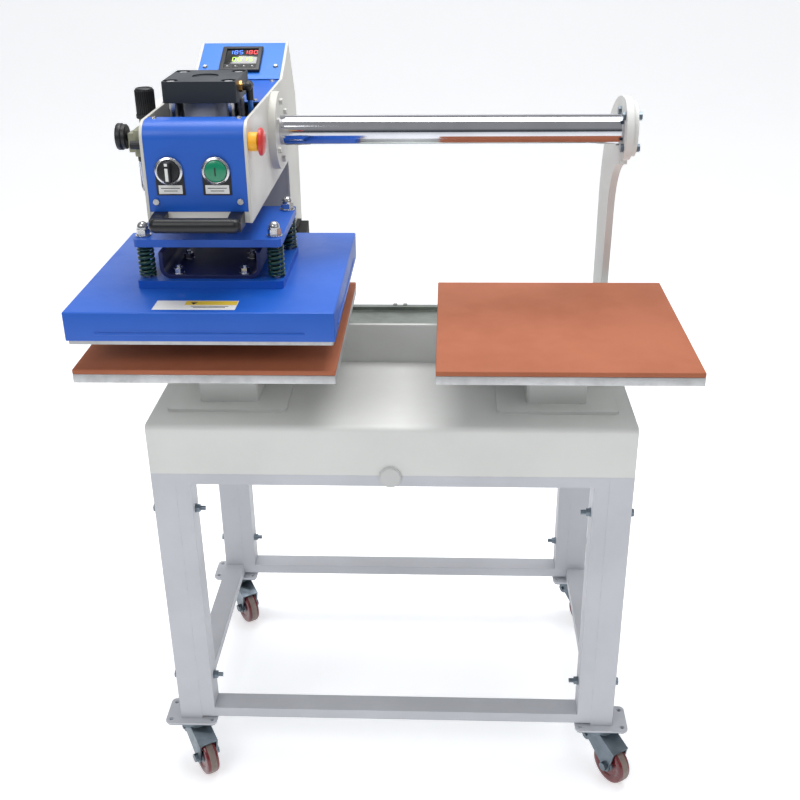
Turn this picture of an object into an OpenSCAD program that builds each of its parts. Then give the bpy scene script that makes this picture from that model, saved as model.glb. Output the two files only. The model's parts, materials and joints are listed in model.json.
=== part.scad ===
// Pneumatic double-station heat press on a caster stand.
// The origin is on the floor, in the middle of the machine's footprint, between the two stations.
// +X is the operator's right, +Y points to the back and +Z is up. Lengths are in millimetres.

/* [Stations] */
// Width of each platen, left to right
platen_w = 400; // [340:1:440]
// Depth of each platen, front to back
platen_d = 400; // [340:1:440]
// Height of the lower platens' underside above the table body
platen_lift = 113; // [94:1:180]
// Depth position of the platen centres
platen_y = -107; // [-120:1:-90]
// Thickness of a lower platen
platen_t = 14; // [10:1:20]
// Thickness of its silicone pad
pad_t = 8; // [5:1:10]

/* [Stand] */
// Overall width of the stand and the table body
table_w = 800; // [700:1:960]
// Overall depth of the stand
table_d = 506; // [450:1:600]
// Depth position of the stand's centre
table_y = 26; // [20:1:32]
// Height of the stand's top, where the table body sits
stand_z = 636; // [560:1:660]
// Side of the square leg tube
leg = 40; // [35:1:50]
// Width of the bolted inner frame tube
inner_leg = 25; // [20:1:30]
// Height of the flat rails
rail_h = 20; // [18:1:30]
// Wall of the stand's tubes
tube_wall = 1.5; // [1.2:0.1:2.5]
// Height of the table body
body_h = 89; // [80:1:100]
// Depth of the table body in front of the rear housing
body_d = 264; // [250:1:280]
// Height of the rear housing's front wall above the table body
splash_h = 73; // [60:1:80]
// Sheet thickness of the body, covers and housing
sheet = 2; // [1.5:0.1:2.5]

/* [Casters] */
// Wheel diameter
wheel_dia = 76; // [60:1:80]
// Wheel width
wheel_w = 26; // [20:1:30]
// Height of a caster above its wheel, up to the foot plate
caster_gap = 32; // [27:1:40]
// Distance of the wheel axle from the swivel axis
trail = 40; // [32:1:45]
// Swivel position at rest, measured from +X
swivel_deg = -55; // [-90:1:0]
// Axle diameter
axle_dia = 10; // [8:1:12]

/* [Guide tube and arms] */
// Diameter of the chrome guide tube
tube_dia = 48; // [40:1:52]
// Height of the tube's axis above the middle of the head
tube_lift = 10.5; // [8:0.5:12]
// Depth position of the tube's axis
tube_y = 21; // [10:1:30]
// Distance of each support arm's inner face from the table's end
arm_inset = 24; // [20:1:30]
// Thickness of a support arm
arm_t = 12; // [8:1:14]
// Width of a support arm's blade
blade_w = 103; // [90:1:110]
// Radial clearance of the slide bushes on the tube
bush_gap = 0.05; // [0.02:0.01:0.1]

/* [Head] */
// Height of the head's box
head_h = 147; // [125:1:175]
// Distance of the head's front face from the cylinder's axis
head_front = 121; // [112:1:140]
// Gap between the cylinder's caps and the cheeks
side_gap = 18.5; // [16:0.5:25]
// Gap between the upper press plate and the head's underside
head_gap = 34; // [30:1:45]
// Depth position of the column's front face
column_y0 = 163; // [150:1:170]
// Depth of the column
column_d = 144; // [125:1:170]
// Gap between the column and the rail
column_gap = 26; // [22:1:40]
// Length of the rubber end stops
bump_len = 22; // [18:1:40]
// Thickness of the side cheeks
cheek = 4.5; // [4:0.5:6]
// Height of the control panel's top edge above the head's box
panel_rise = 48; // [40:1:58]

/* [Press] */
// Stroke of the cylinder, down to just above the pad
stroke = 40; // [30:1:50]
// Bore of the cylinder
cylinder_bore = 63; // [50:1:76]
// Wall of the cylinder barrel
barrel_wall = 4.5; // [3.5:0.5:6]
// Side of the square cylinder caps
cap_w = 110; // [92:1:132]
// Diameter of the piston rod
rod_dia = 25; // [20:1:30]
// Width of the two press plates
plate_w = 228; // [210:1:260]
// Depth of the two press plates
plate_d = 190; // [180:1:230]
// Distance of the guide bolts from the plates' ends
bolt_edge_x = 12.5; // [10:0.5:20]
// Distance of the guide bolts from the plates' front and back
bolt_edge_y = 22; // [14:0.5:30]
// Height of the heater cover
cover_h = 47; // [40:1:57]
// Overhang of the heater cover past the platen's edge
cover_lip = 2; // [1.5:0.5:5]
// Height of the heater block's edge that shows under the cover
block_edge = 5; // [4:0.5:10]

/* [Hidden] */
$fn = 64;

// Small play that keeps moving pieces apart, and pieces that only stand beside each other
play = 0.3;
// Clearance of a bolt in its hole
hole_gap = 0.5;

// Stand
caster_h = wheel_dia + caster_gap;
foot_t = 4;
foot_w = 96;
foot_d = 68;
leg_z0 = caster_h + foot_t;
leg_x = table_w / 2 - leg / 2;
leg_y = table_d / 2 - leg / 2;
inner_x = table_w / 2 - leg - inner_leg;
low_rail_z = leg_z0 + 6;
frame_bolt_r = 4;
frame_bolt_z = [leg_z0 + 88, stand_z - 78];

// Table body and rear housing
body_y0 = table_y - table_d / 2;
body_y1 = body_y0 + body_d;
body_z = stand_z + body_h;
rear_y1 = table_y + table_d / 2;
deck_z = body_z + 20;
splash_z = body_z + splash_h;
splash_t = 8;
bend_r = 9;
arm_x = table_w / 2 - arm_inset;

// Rear rail
rail_t = 4;
rail_top = deck_z + rail_t;
rail_w = 2 * arm_x - 12;
rib_y = rear_y1 - 38;
rib_w = 7;
rib_h = 7;

// Width of the head between and over its cheeks
in_w = cap_w + 2 * side_gap;
head_w = in_w + 2 * cheek;

// Stations, which are as far apart as the arms and the end stops leave the head to travel
station_x = arm_x - 1 - bump_len - head_w / 2;
platen_z0 = body_z + platen_lift;
pad_z0 = platen_z0 + platen_t;
work_z = pad_z0 + pad_t;
pedestal_top_t = 6;

// Heater and press plates
press_y = platen_y - 4;
closed_gap = 1;
heater_z0 = work_z + stroke + closed_gap;
heater_t = 20;
cover_z0 = heater_z0 + block_edge;
cover_z1 = cover_z0 + cover_h;
cover_w = platen_w + 2 * cover_lip;
cover_d = platen_d + 2 * cover_lip;
lower_t = 13;
upper_t = 12;
spring_len = 54;
plate1_z = cover_z1 + lower_t;
plate2_z0 = plate1_z + spring_len;
plate2_z = plate2_z0 + upper_t;
guide_r = 6;
bolt_dx = plate_w - 2 * bolt_edge_x;
bolt_dy = plate_d - 2 * bolt_edge_y;
yoke_t = 6;
yoke_h = 42;
yoke_d = plate_d - 22;
yoke_w = bolt_dx - 45;

// Head at rest, over the left station
head_x = -station_x;
head_z0 = plate2_z + head_gap;
head_z1 = head_z0 + head_h;
head_y0 = press_y - head_front;
nose_z = head_z0 + 17;
panel_z = head_z1 + panel_rise;
column_z0 = rail_top + column_gap;
column_y1 = column_y0 + column_d;
tube_z = head_z0 + head_h / 2 + tube_lift;
panel_y0 = column_y0 - 17;
panel_y1 = column_y0 + 82;
bush_r = tube_dia / 2 + 8;
flange_bolt_r = bush_r + 15;
flange_r = flange_bolt_r + 15.5;
flange_t = 12;
glide_gap = 0.4;

// Cylinder
base_t = 8;
base_z = head_z0 + base_t;
barrel_dia = cylinder_bore + 2 * barrel_wall;
cap_z0 = head_z1 + 15;
cap_h = 31;
cap_z1 = cap_z0 + cap_h;
foot_cap_h = 30;
tie_pos = cap_w / 2 - 12;
tie_r = 6;

// Controls on the front cover
control_y = head_y0;
selector_x = head_x - 39;
start_x = head_x + 30;
control_z = head_z1 - 69;
bezel_r = 21;
button_r = 16;

// Emergency stop on the right cheek
estop_y = head_y0 + 17;
estop_z = head_z1 - 31;
estop_x = head_x + head_w / 2;
collar_l = 14;
mushroom_x = estop_x + 15.5;
mushroom_t = 9;

// Filter regulator on the left cheek
reg_w = 40;
reg_x = head_x - head_w / 2 - 1 - reg_w / 2;
reg_y = press_y + 11;
reg_z0 = head_z0 + 73;
reg_z1 = reg_z0 + 40;
spindle_r = 4;
bonnet_h = 16;
bowl_h = 62;
port_l = 10;

// ---------- helpers ----------

// Rounded rectangle about the origin
module rrect(w, d, r) {
    square([w - 2 * r, d], center = true);
    square([w, d - 2 * r], center = true);
    for (sx = [-1, 1], sy = [-1, 1]) translate([sx * (w / 2 - r), sy * (d / 2 - r)]) circle(r);
}

// Box from its low corner to its high corner
module span(a, b) {
    translate(a) cube(b - a);
}

// Round bar along X, Y or Z from a start point
module bar_x(p, r, l) { translate(p) rotate([0, 90, 0]) cylinder(r = r, h = l); }
module bar_y(p, r, l) { translate(p) rotate([-90, 0, 0]) cylinder(r = r, h = l); }
module bar_z(p, r, l) { translate(p) cylinder(r = r, h = l); }

// Profile drawn in Y and Z, given a thickness along X from x0
module slab_x(x0, t) {
    translate([x0, 0, 0]) rotate([90, 0, 90]) linear_extrude(t) children();
}

// Hexagon prism along X
module hex_x(p, af, h) {
    translate(p) rotate([0, 90, 0]) cylinder(r = af / sqrt(3), h = h, $fn = 6);
}

// Hexagon prism along Z
module hex_z(p, af, h) {
    translate(p) cylinder(r = af / sqrt(3), h = h, $fn = 6);
}

// Copies at the four guide bolts
module at_guides() {
    for (sx = [-1, 1], sy = [-1, 1])
        translate([head_x + sx * bolt_dx / 2, press_y + sy * bolt_dy / 2, 0]) children();
}

// Copies at the four tie rods
module at_ties() {
    for (sx = [-1, 1], sy = [-1, 1])
        translate([head_x + sx * tie_pos, press_y + sy * tie_pos, 0]) children();
}

// Copies at both stations
module at_stations() {
    for (s = [-1, 1]) translate([s * station_x, platen_y, 0]) children();
}

// ---------- stand ----------

// Legs, rails and foot plates of one side, welded; s is -1 for the left side
module side_frame(s) {
    x0 = s * leg_x - leg / 2;
    color("gainsboro")
    difference() {
        union() {
            for (e = [-1, 1]) {
                y = table_y + e * leg_y;
                span([x0, y - leg / 2, leg_z0], [x0 + leg, y + leg / 2, stand_z]);
                translate([s * leg_x, y, caster_h]) linear_extrude(foot_t)
                    rrect(foot_w, foot_d, 10);
            }
            for (z = [low_rail_z, stand_z - rail_h])
                span([x0, table_y - leg_y, z], [x0 + leg, table_y + leg_y, z + rail_h]);
        }
        for (e = [-1, 1]) {
            y = table_y + e * leg_y;
            span([x0 + tube_wall, y - leg / 2 + tube_wall, leg_z0],
                [x0 + leg - tube_wall, y + leg / 2 - tube_wall, stand_z + 1]);
            for (bx = [-1, 1], by = [-1, 1])
                bar_z([s * leg_x + bx * (foot_w / 2 - 10), y + by * (foot_d / 2 - 11), caster_h - 1],
                    4, foot_t + 2);
            for (z = frame_bolt_z)
                bar_x([x0 - 1, y, z], frame_bolt_r + hole_gap / 2, leg + 2);
        }
        for (z = [low_rail_z, stand_z - rail_h])
            span([x0 + tube_wall, table_y - leg_y, z + tube_wall],
                [x0 + leg - tube_wall, table_y + leg_y, z + rail_h - tube_wall]);
    }
}

module side_frame_left() { side_frame(-1); }
module side_frame_right() { side_frame(1); }

// Bolted cross frame between the side frames; e is -1 at the front
module cross_frame(e) {
    y = table_y + e * leg_y;
    x1 = inner_x + inner_leg;
    color("gainsboro")
    difference() {
        union() {
            for (s = [-1, 1])
                span([s < 0 ? -x1 : inner_x, y - leg / 2, low_rail_z],
                    [s < 0 ? -inner_x : x1, y + leg / 2, stand_z]);
            for (z = [low_rail_z, stand_z - rail_h])
                span([-x1, y - leg / 2, z], [x1, y + leg / 2, z + rail_h]);
        }
        for (s = [-1, 1])
            span([(s < 0 ? -x1 : inner_x) + tube_wall, y - leg / 2 + tube_wall, low_rail_z + tube_wall],
                [(s < 0 ? -inner_x : x1) - tube_wall, y + leg / 2 - tube_wall, stand_z + 1]);
        for (z = [low_rail_z, stand_z - rail_h])
            span([-inner_x - 1 - tube_wall, y - leg / 2 + tube_wall, z + tube_wall],
                [inner_x + 1 + tube_wall, y + leg / 2 - tube_wall, z + rail_h - tube_wall]);
        for (s = [-1, 1], z = frame_bolt_z)
            bar_x([s * (inner_x + inner_leg / 2) - inner_leg, y, z], frame_bolt_r + hole_gap / 2,
                2 * inner_leg);
    }
}

module front_frame() { cross_frame(-1); }
module rear_frame() { cross_frame(1); }

// Hexagon bolts that hold the frames together, and those of the arms
module frame_bolts() {
    color("silver") {
        for (s = [-1, 1], e = [-1, 1], z = frame_bolt_z) {
            y = table_y + e * leg_y;
            outer = s * (table_w / 2 + 1);
            inner = s * inner_x;
            mirrored = s < 0 ? 1 : 0;
            translate([outer, y, z]) mirror([mirrored, 0, 0]) {
                cylinder_head();
                bar_x([-leg - inner_leg - 18, 0, 0], frame_bolt_r, leg + inner_leg + 18);
            }
            translate([inner, y, z]) mirror([mirrored, 0, 0]) {
                bar_x([-1.5, 0, 0], 8, 1.5);
                hex_x([-8, 0, 0], 13, 6.5);
            }
        }
        for (s = [-1, 1]) arm_bolt_set(s);
    }
}

// Bolt head with its washer, against a face at X = 0 and pointing to +X
module cylinder_head() {
    bar_x([-1, 0, 0], 8, 1.5);
    hex_x([0.5, 0, 0], 13, 5.5);
}

// Four plates bolted under the foot plates, each with its race and kingpin
race_r = 28;
race_h = 8;
kingpin_r = 6;
caster_plate_t = 3;
race_z = caster_h - caster_plate_t - race_h;
module caster_plates() {
    color("lightsteelblue")
    for (s = [-1, 1], e = [-1, 1])
        translate([s * leg_x, table_y + e * leg_y, 0]) {
            difference() {
                translate([0, 0, caster_h - caster_plate_t]) linear_extrude(caster_plate_t)
                    rrect(foot_w - 4, foot_d - 4, 8);
                for (bx = [-1, 1], by = [-1, 1])
                    bar_z([bx * (foot_w / 2 - 10), by * (foot_d / 2 - 11), race_z], 4, 20);
            }
            bar_z([0, 0, race_z], race_r, race_h + 0.1);
            bar_z([0, 0, race_z - 8], kingpin_r, 8.1);
            bar_z([0, 0, race_z - 8], 10, 3);
        }
}

// ---------- table ----------

// Outline of the table body in Y and Z, with the bent front edge
module body_outline(inset) {
    r = bend_r - inset;
    y0 = body_y0 + inset;
    z1 = body_z - inset;
    translate([y0 + r, z1 - r]) circle(r);
    translate([y0, stand_z - 1]) square([r, z1 - r - stand_z + 1]);
    translate([y0 + r, stand_z - 1]) square([body_y1 - inset - y0 - r, z1 - stand_z + 1]);
}

// Folded sheet box, open underneath
module table_body() {
    color("whitesmoke")
    difference() {
        intersection() {
            slab_x(-table_w / 2, table_w) body_outline(0);
            span([-table_w, body_y0 - 1, stand_z], [table_w, body_y1, body_z + 1]);
        }
        slab_x(-table_w / 2 + sheet, table_w - 2 * sheet) body_outline(sheet);
    }
}

// Folded trough behind the table: a deck for the rail, a high front wall and two end walls
module rear_housing() {
    color("whitesmoke") {
        difference() {
            span([-table_w / 2, body_y1, stand_z], [table_w / 2, rear_y1, deck_z]);
            span([-table_w / 2 + sheet, body_y1 + sheet, stand_z - 1],
                [table_w / 2 - sheet, rear_y1 - sheet, deck_z - sheet]);
        }
        span([-table_w / 2, body_y1, deck_z - 1], [table_w / 2, body_y1 + splash_t, splash_z]);
        for (s = [-1, 1])
            span([s * (table_w / 2 - sheet / 2) - sheet / 2, body_y1, deck_z - 1],
                [s * (table_w / 2 - sheet / 2) + sheet / 2, rear_y1, splash_z]);
    }
}

// Zinc plate with a guide rib, and two small stops behind the rib
module rear_rail() {
    color("slategray") {
        span([-rail_w / 2, body_y1 + splash_t + 1, deck_z], [rail_w / 2, rear_y1 - 6, rail_top]);
        span([-rail_w / 2, rib_y, deck_z + 1], [rail_w / 2, rib_y + rib_w, rail_top + rib_h]);
        for (x = [-16, 4])
            span([x, rib_y + rib_w + 6, rail_top - 1], [x + 8, rib_y + rib_w + 16, rail_top + 6]);
    }
}

// Round plug over the seam between the table body and the stand
module seam_plug() {
    color("lightgray") {
        bar_y([0, body_y0 - 3, stand_z - 2], 18.5, 3);
        bar_y([0, body_y0 - 4.2, stand_z - 2], 16.5, 1.4);
    }
}

// Aluminium lower platens
module lower_platens() {
    color("silver")
    at_stations() translate([0, 0, platen_z0]) linear_extrude(platen_t) rrect(platen_w, platen_d, 8);
}

// Silicone pads on the lower platens
module silicone_pads() {
    color("chocolate")
    at_stations() translate([0, 0, pad_z0]) linear_extrude(pad_t) rrect(platen_w, platen_d, 8);
}

// Welded pedestals that carry the lower platens
module pedestals() {
    post = 100;
    color("whitesmoke")
    at_stations() translate([0, 12, 0]) {
        translate([0, 0, body_z]) linear_extrude(5) rrect(200, 160, 8);
        translate([0, 0, platen_z0 - pedestal_top_t]) linear_extrude(pedestal_top_t)
            rrect(260, 220, 10);
        translate([0, 0, body_z + 5]) linear_extrude(platen_z0 - pedestal_top_t - body_z - 5)
            difference() {
                rrect(post, post, 6);
                rrect(post - 6, post - 6, 3);
            }
    }
}

// ---------- arms and tube ----------

arm_bolt_r = tube_dia / 2 + 12;
arm_flange_r = arm_bolt_r + 8;
arm_disc_r = arm_bolt_r + 14;
arm_back_y = rear_y1 - 38;
arm_neck_r = arm_back_y - tube_y;
arm_bend_z = tube_z + arm_disc_r - arm_neck_r;
arm_foot_t = 6;

// Outline of a support arm in Y and Z: disc, curved neck and straight blade
module arm_outline() {
    outer_r = arm_neck_r;
    inner_r = outer_r - blade_w - 5;
    blade_y = arm_back_y - blade_w;
    difference() {
        union() {
            intersection() {
                translate([tube_y, arm_bend_z]) circle(outer_r, $fn = 128);
                translate([tube_y, arm_bend_z]) square([outer_r + 1, outer_r + 1]);
            }
            translate([tube_y, tube_z]) circle(arm_disc_r);
        }
        translate([tube_y - 10, arm_bend_z]) circle(inner_r, $fn = 128);
    }
    polygon([[tube_y - 10 + inner_r, arm_bend_z], [arm_back_y, arm_bend_z],
        [arm_back_y, deck_z], [blade_y, deck_z]]);
}

module arm(s) {
    x0 = s > 0 ? arm_x : -arm_x - arm_t;
    foot_x = s > 0 ? arm_x : -table_w / 2 + sheet + 1;
    color("lightgray") {
        difference() {
            union() {
                slab_x(x0, arm_t) arm_outline();
                bar_x([s > 0 ? arm_x + arm_t - 0.1 : -arm_x - arm_t - 8, tube_y, tube_z],
                    arm_flange_r, 8.1);
            }
            bar_x([-table_w, tube_y, tube_z], tube_dia / 2 + 0.1, 2 * table_w);
            for (a = [45:90:315])
                bar_x([-table_w, tube_y + arm_bolt_r * cos(a), tube_z + arm_bolt_r * sin(a)],
                    4 + hole_gap / 2, 2 * table_w);
        }
        span([foot_x, arm_back_y - blade_w - 8, deck_z],
            [foot_x + table_w / 2 - sheet - 1 - arm_x, arm_back_y - 2, deck_z + arm_foot_t]);
    }
}

module arm_left() { arm(-1); }
module arm_right() { arm(1); }

// Bolts through one arm's disc and its outer flange
module arm_bolt_set(s) {
    mirror([s < 0 ? 1 : 0, 0, 0])
    for (a = [45:90:315])
        translate([0, tube_y + arm_bolt_r * cos(a), tube_z + arm_bolt_r * sin(a)]) {
            bar_x([arm_x - 4.5, 0, 0], 4, arm_t + 14.5);
            hex_x([arm_x - 5, 0, 0], 12, 5);
            hex_x([arm_x + arm_t + 8, 0, 0], 12, 6);
        }
}

// Chrome tube that carries the head
module guide_tube() {
    end = arm_x + arm_t + 8;
    color("silver")
    difference() {
        bar_x([-end, tube_y, tube_z], tube_dia / 2, 2 * end);
        bar_x([-end - 1, tube_y, tube_z], tube_dia / 2 - 4, 2 * end + 2);
    }
}

// ---------- head ----------

// Outline of a cheek in Y and Z: box-shaped head, sloping panel edge and column
module cheek_outline(inset) {
    r = 25 - inset;
    difference() {
        union() {
            polygon([
                [head_y0 + 25, head_z1 - inset], [head_y0 + 25, head_z0 + inset],
                [column_y0 + inset, head_z0 + inset], [column_y0 + inset, column_z0 + inset],
                [column_y1 - 10 - inset, column_z0 + inset], [column_y1 - inset, head_z0 + 30],
                [column_y1 - 7 - inset, head_z1 - 51], [panel_y1 - inset / 2, panel_z - inset],
                [panel_y0, head_z1 - inset]]);
            translate([head_y0 + inset, head_z0 + inset])
                square([26 - inset, head_z1 - 25 - head_z0 - inset]);
            translate([head_y0 + 25, head_z1 - 25]) circle(r);
        }
    }
}

module cheek_plate(s) {
    x0 = s > 0 ? head_x + head_w / 2 - cheek : head_x - head_w / 2;
    color("white")
    difference() {
        slab_x(x0, cheek) cheek_outline(0);
        bar_x([x0 - 1, tube_y, tube_z], bush_r + 0.2, cheek + 2);
        for (a = [30:60:330])
            bar_x([x0 - 1, tube_y + flange_bolt_r * cos(a), tube_z + flange_bolt_r * sin(a)],
                3 + hole_gap / 2, cheek + 2);
        if (s > 0) bar_x([x0 - 1, estop_y, estop_z], 11.2, cheek + 2);
    }
}

module cheek_left() { cheek_plate(-1); }
module cheek_right() { cheek_plate(1); }

// Sheet that follows the cheek's front: up the face, round the bend and a little way back
module front_cover() {
    color("royalblue")
    difference() {
        slab_x(head_x - in_w / 2, in_w)
        difference() {
            cheek_outline(0.5);
            cheek_outline(0.5 + sheet);
            translate([head_y0 + 45, head_z0 - 300]) square([900, 900]);
            translate([head_y0 - 1, head_z0 - 10]) square([60, nose_z - head_z0 + 10]);
        }
        for (x = [selector_x, start_x])
            bar_y([x, head_y0 - 1, control_z], 11.2, 6);
    }
}

// White base plate with its upturned nose, which carries the cylinder
module base_plate() {
    color("white")
    difference() {
        union() {
            span([head_x - in_w / 2, head_y0 + 1, head_z0], [head_x + in_w / 2, column_y0 + 60, base_z]);
            span([head_x - in_w / 2, head_y0 + 1, head_z0],
                [head_x + in_w / 2, head_y0 + 4, nose_z - 0.5]);
        }
        bar_z([head_x, press_y, head_z0 - 1], rod_dia / 2 + 1, base_t + 2);
        at_ties() bar_z([0, 0, head_z0 - 1], tie_r + hole_gap / 2, base_t + 2);
    }
}

// Blue cover over the rear of the head's top
module rear_cover() {
    color("royalblue")
    span([head_x - in_w / 2, press_y + cap_w / 2 - 4, head_z1 - 4],
        [head_x + in_w / 2, panel_y0 - 0.5, head_z1 - 4 + sheet]);
}

panel_deg = atan2(panel_z - head_z1, panel_y1 - panel_y0);
panel_len = norm([panel_z - head_z1, panel_y1 - panel_y0]);
display_w = 72;
display_pos = panel_len - 55;

// Frame of the sloping panel: Y runs up the slope and Z is its normal
module on_panel() {
    translate([head_x, panel_y0, head_z1]) rotate([panel_deg, 0, 0]) children();
}

module control_panel() {
    color("dodgerblue")
    on_panel() difference() {
        translate([-in_w / 2, 0.5, -2.5]) cube([in_w, panel_len - 1.5, sheet]);
        translate([-34, display_pos - 34, -5]) cube([68, 68, 10]);
    }
}

// Flush-mounted display with its bezel, window and case
module display_unit() {
    color("black")
    on_panel() {
        translate([-display_w / 2, display_pos - display_w / 2, -0.5]) cube([display_w, display_w, 6]);
        translate([-33.5, display_pos - 33.5, -30]) cube([67, 67, 30]);
    }
}

// Round-headed screws of the covers and the panel
module head_screws() {
    color("silver") {
        for (s = [-1, 1]) {
            x = s * (in_w / 2 - 11);
            bar_y([head_x + x, head_y0 - 2.5, nose_z + 15], 4.5, 3);
            translate([head_x + x, head_y0 + 35, head_z1 - 0.5])
                cylinder(r1 = 4.5, r2 = 3, h = 2.5);
            for (y = [press_y + cap_w / 2 + 6, panel_y0 - 14])
                translate([head_x + x, y, head_z1 - 2]) cylinder(r1 = 4.5, r2 = 3, h = 2.5);
            on_panel() translate([x, 37, -0.5]) cylinder(r1 = 4.5, r2 = 3, h = 3);
        }
    }
}

// Front and back sheets of the column, between the cheeks
module column_sheets() {
    color("lightgray")
    slab_x(head_x - in_w / 2, in_w) {
        translate([column_y0 + 1, column_z0 + 1]) square([3, head_z0 - column_z0 - 1.5]);
        difference() {
            cheek_outline(1);
            cheek_outline(3.5);
            translate([head_y0 - 1, column_z0 - 1]) square([panel_y1 - head_y0 + 1.5, 2 * panel_z]);
            translate([panel_y1 - 200, column_z0 - 5]) square([220, 20]);
        }
    }
}

// Barrel of the air cylinder
module cylinder_barrel() {
    color("silver")
    difference() {
        bar_z([head_x, press_y, base_z + foot_cap_h], barrel_dia / 2, cap_z0 - base_z - foot_cap_h);
        bar_z([head_x, press_y, base_z], cylinder_bore / 2, cap_z1 - base_z);
    }
}

// Square end caps of the air cylinder
module cylinder_caps() {
    color("darkslategray") {
        difference() {
            translate([head_x, press_y, cap_z0]) linear_extrude(cap_h) rrect(cap_w, cap_w, 3);
            bar_z([head_x, press_y, cap_z1 - 2], 20, 3);
            at_ties() {
                bar_z([0, 0, cap_z0 - 1], tie_r + hole_gap / 2, cap_h + 2);
                bar_z([0, 0, cap_z1 - 9], 11, 10);
            }
        }
        difference() {
            translate([head_x, press_y, base_z]) linear_extrude(foot_cap_h) rrect(cap_w, cap_w, 3);
            bar_z([head_x, press_y, base_z - 1], rod_dia / 2 + bush_gap, foot_cap_h + 2);
            at_ties() bar_z([0, 0, base_z - 1], tie_r + hole_gap / 2, foot_cap_h + 2);
        }
    }
}

// Four tie rods with their nuts, top and bottom
module tie_rods() {
    color("silver")
    at_ties() {
        bar_z([0, 0, head_z0 - 8], tie_r, cap_z1 - 1 - head_z0 + 8);
        hex_z([0, 0, cap_z1 - 9], 17, 7);
        hex_z([0, 0, head_z0 - 7], 17, 7);
    }
}

// Air inlet elbow in front of the regulator
inlet_x = reg_x - 22;
inlet_y = reg_y - reg_w / 2 - 9;
inlet_z = reg_z0 + 20;

// Mains cable gland, low on the column's left cheek
gland_l = 15;
gland_x = head_x - head_w / 2 - gland_l;
gland_y = column_y1 - 40;
gland_z = column_z0 + 45;

// Connector and elbow on the right side of the top cap, with the hose inside the cheek
fit_y = press_y - 24;
fit_z = cap_z0 + 19;
fit_x = head_x + cap_w / 2;
elbow_x = head_x + in_w / 2 - 6;
elbow_y = fit_y + 13;
elbow_z = fit_z - 22;

// Brass connector on the right side of the top cap
module brass_fitting() {
    color("gold") {
        hex_x([fit_x, fit_y, fit_z], 14, 4.5);
        bar_x([fit_x + 4.4, fit_y, fit_z], 5, 1.1);
    }
}

// Black push-in elbows at the cylinder and the regulator, and the mains cable gland
module black_fittings() {
    color("black") {
        bar_x([fit_x + 5.5, fit_y, fit_z], 5.8, elbow_x - fit_x - 5.5);
        translate([elbow_x, fit_y, fit_z]) sphere(r = 6.5);
        bar_y([elbow_x, fit_y, fit_z], 6, elbow_y - fit_y);
        translate([elbow_x, elbow_y, fit_z]) sphere(r = 6.5);
        bar_z([elbow_x, elbow_y, elbow_z], 5.5, fit_z - elbow_z);
        difference() {
            union() {
                bar_y([reg_x - 3, inlet_y, inlet_z], 7, 9);
                translate([reg_x - 3, inlet_y, inlet_z]) sphere(r = 7.5);
                bar_x([inlet_x, inlet_y, inlet_z], 6.5, reg_x - 3 - inlet_x);
            }
            bar_x([inlet_x - 1, inlet_y, inlet_z], 4, 13);
        }
        difference() {
            union() {
                bar_x([gland_x, gland_y, gland_z], 9, gland_l);
                hex_x([gland_x + gland_l - 5, gland_y, gland_z], 22, 5);
            }
            bar_x([gland_x - 1, gland_y, gland_z], 4.5, gland_l + 2);
        }
    }
}

// Short hose from the cylinder's elbow down into the head
module air_hose() {
    color("dodgerblue") bar_z([elbow_x, elbow_y, base_z + 40], 4, elbow_z - base_z - 40);
}

// Flanged bushes that run on the guide tube
module slide_bushes() {
    color("white")
    for (s = [-1, 1])
        difference() {
            union() {
                bar_x([s > 0 ? head_x + head_w / 2 : head_x - head_w / 2 - flange_t, tube_y, tube_z],
                    flange_r, flange_t);
                bar_x([s > 0 ? head_x + head_w / 2 - 25 : head_x - head_w / 2 - 1, tube_y, tube_z],
                    bush_r, 26);
                for (a = [30:60:330])
                    hex_x([s > 0 ? head_x + head_w / 2 + flange_t : head_x - head_w / 2 - flange_t - 5,
                        tube_y + flange_bolt_r * cos(a), tube_z + flange_bolt_r * sin(a)], 9, 5);
            }
            bar_x([head_x - head_w, tube_y, tube_z], tube_dia / 2 + bush_gap, 2 * head_w);
        }
}

// Cast body of the filter regulator with its gauge port, bonnet, spindle and filter element
module regulator_body() {
    color("darkkhaki") {
        translate([reg_x, reg_y, reg_z0]) linear_extrude(reg_z1 - reg_z0) rrect(reg_w, reg_w, 4);
        span([reg_x + reg_w / 2 - 1, reg_y - 14, reg_z0 + 8],
            [reg_x + reg_w / 2 + 1, reg_y + 14, reg_z1 - 8]);
        span([reg_x - reg_w / 2 - port_l, reg_y - 12, reg_z0 + 5],
            [reg_x - reg_w / 2 + 1, reg_y + 12, reg_z1 - 6]);
        bar_z([reg_x, reg_y, reg_z1 - 1], 12.5, bonnet_h);
        bar_z([reg_x, reg_y, reg_z1], spindle_r, bonnet_h + 34);
        bar_z([reg_x, reg_y, reg_z0 - bowl_h + 20], 9, bowl_h - 19);
    }
}

// Clear bowl under the regulator
module filter_bowl() {
    color("lightsteelblue", 0.5)
    translate([reg_x, reg_y, reg_z0 - bowl_h])
    rotate_extrude() difference() {
        union() {
            translate([0, 12]) square([20, bowl_h - 12]);
            square([8, 20]);
            translate([8, 12]) circle(12);
        }
        translate([0, 14]) square([17.5, bowl_h]);
        translate([-60, -30]) square([60, 160]);
    }
}

// Pressure gauge on the regulator's left side
module pressure_gauge() {
    gx = reg_x - reg_w / 2 - port_l;
    gz = reg_z0 + 27;
    color("dimgray") {
        bar_x([gx - 4, reg_y, gz], 6, 4);
        bar_x([gx - 18, reg_y, gz], 19, 14.5);
        bar_x([gx - 19, reg_y, gz], 20.5, 9);
    }
}

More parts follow.
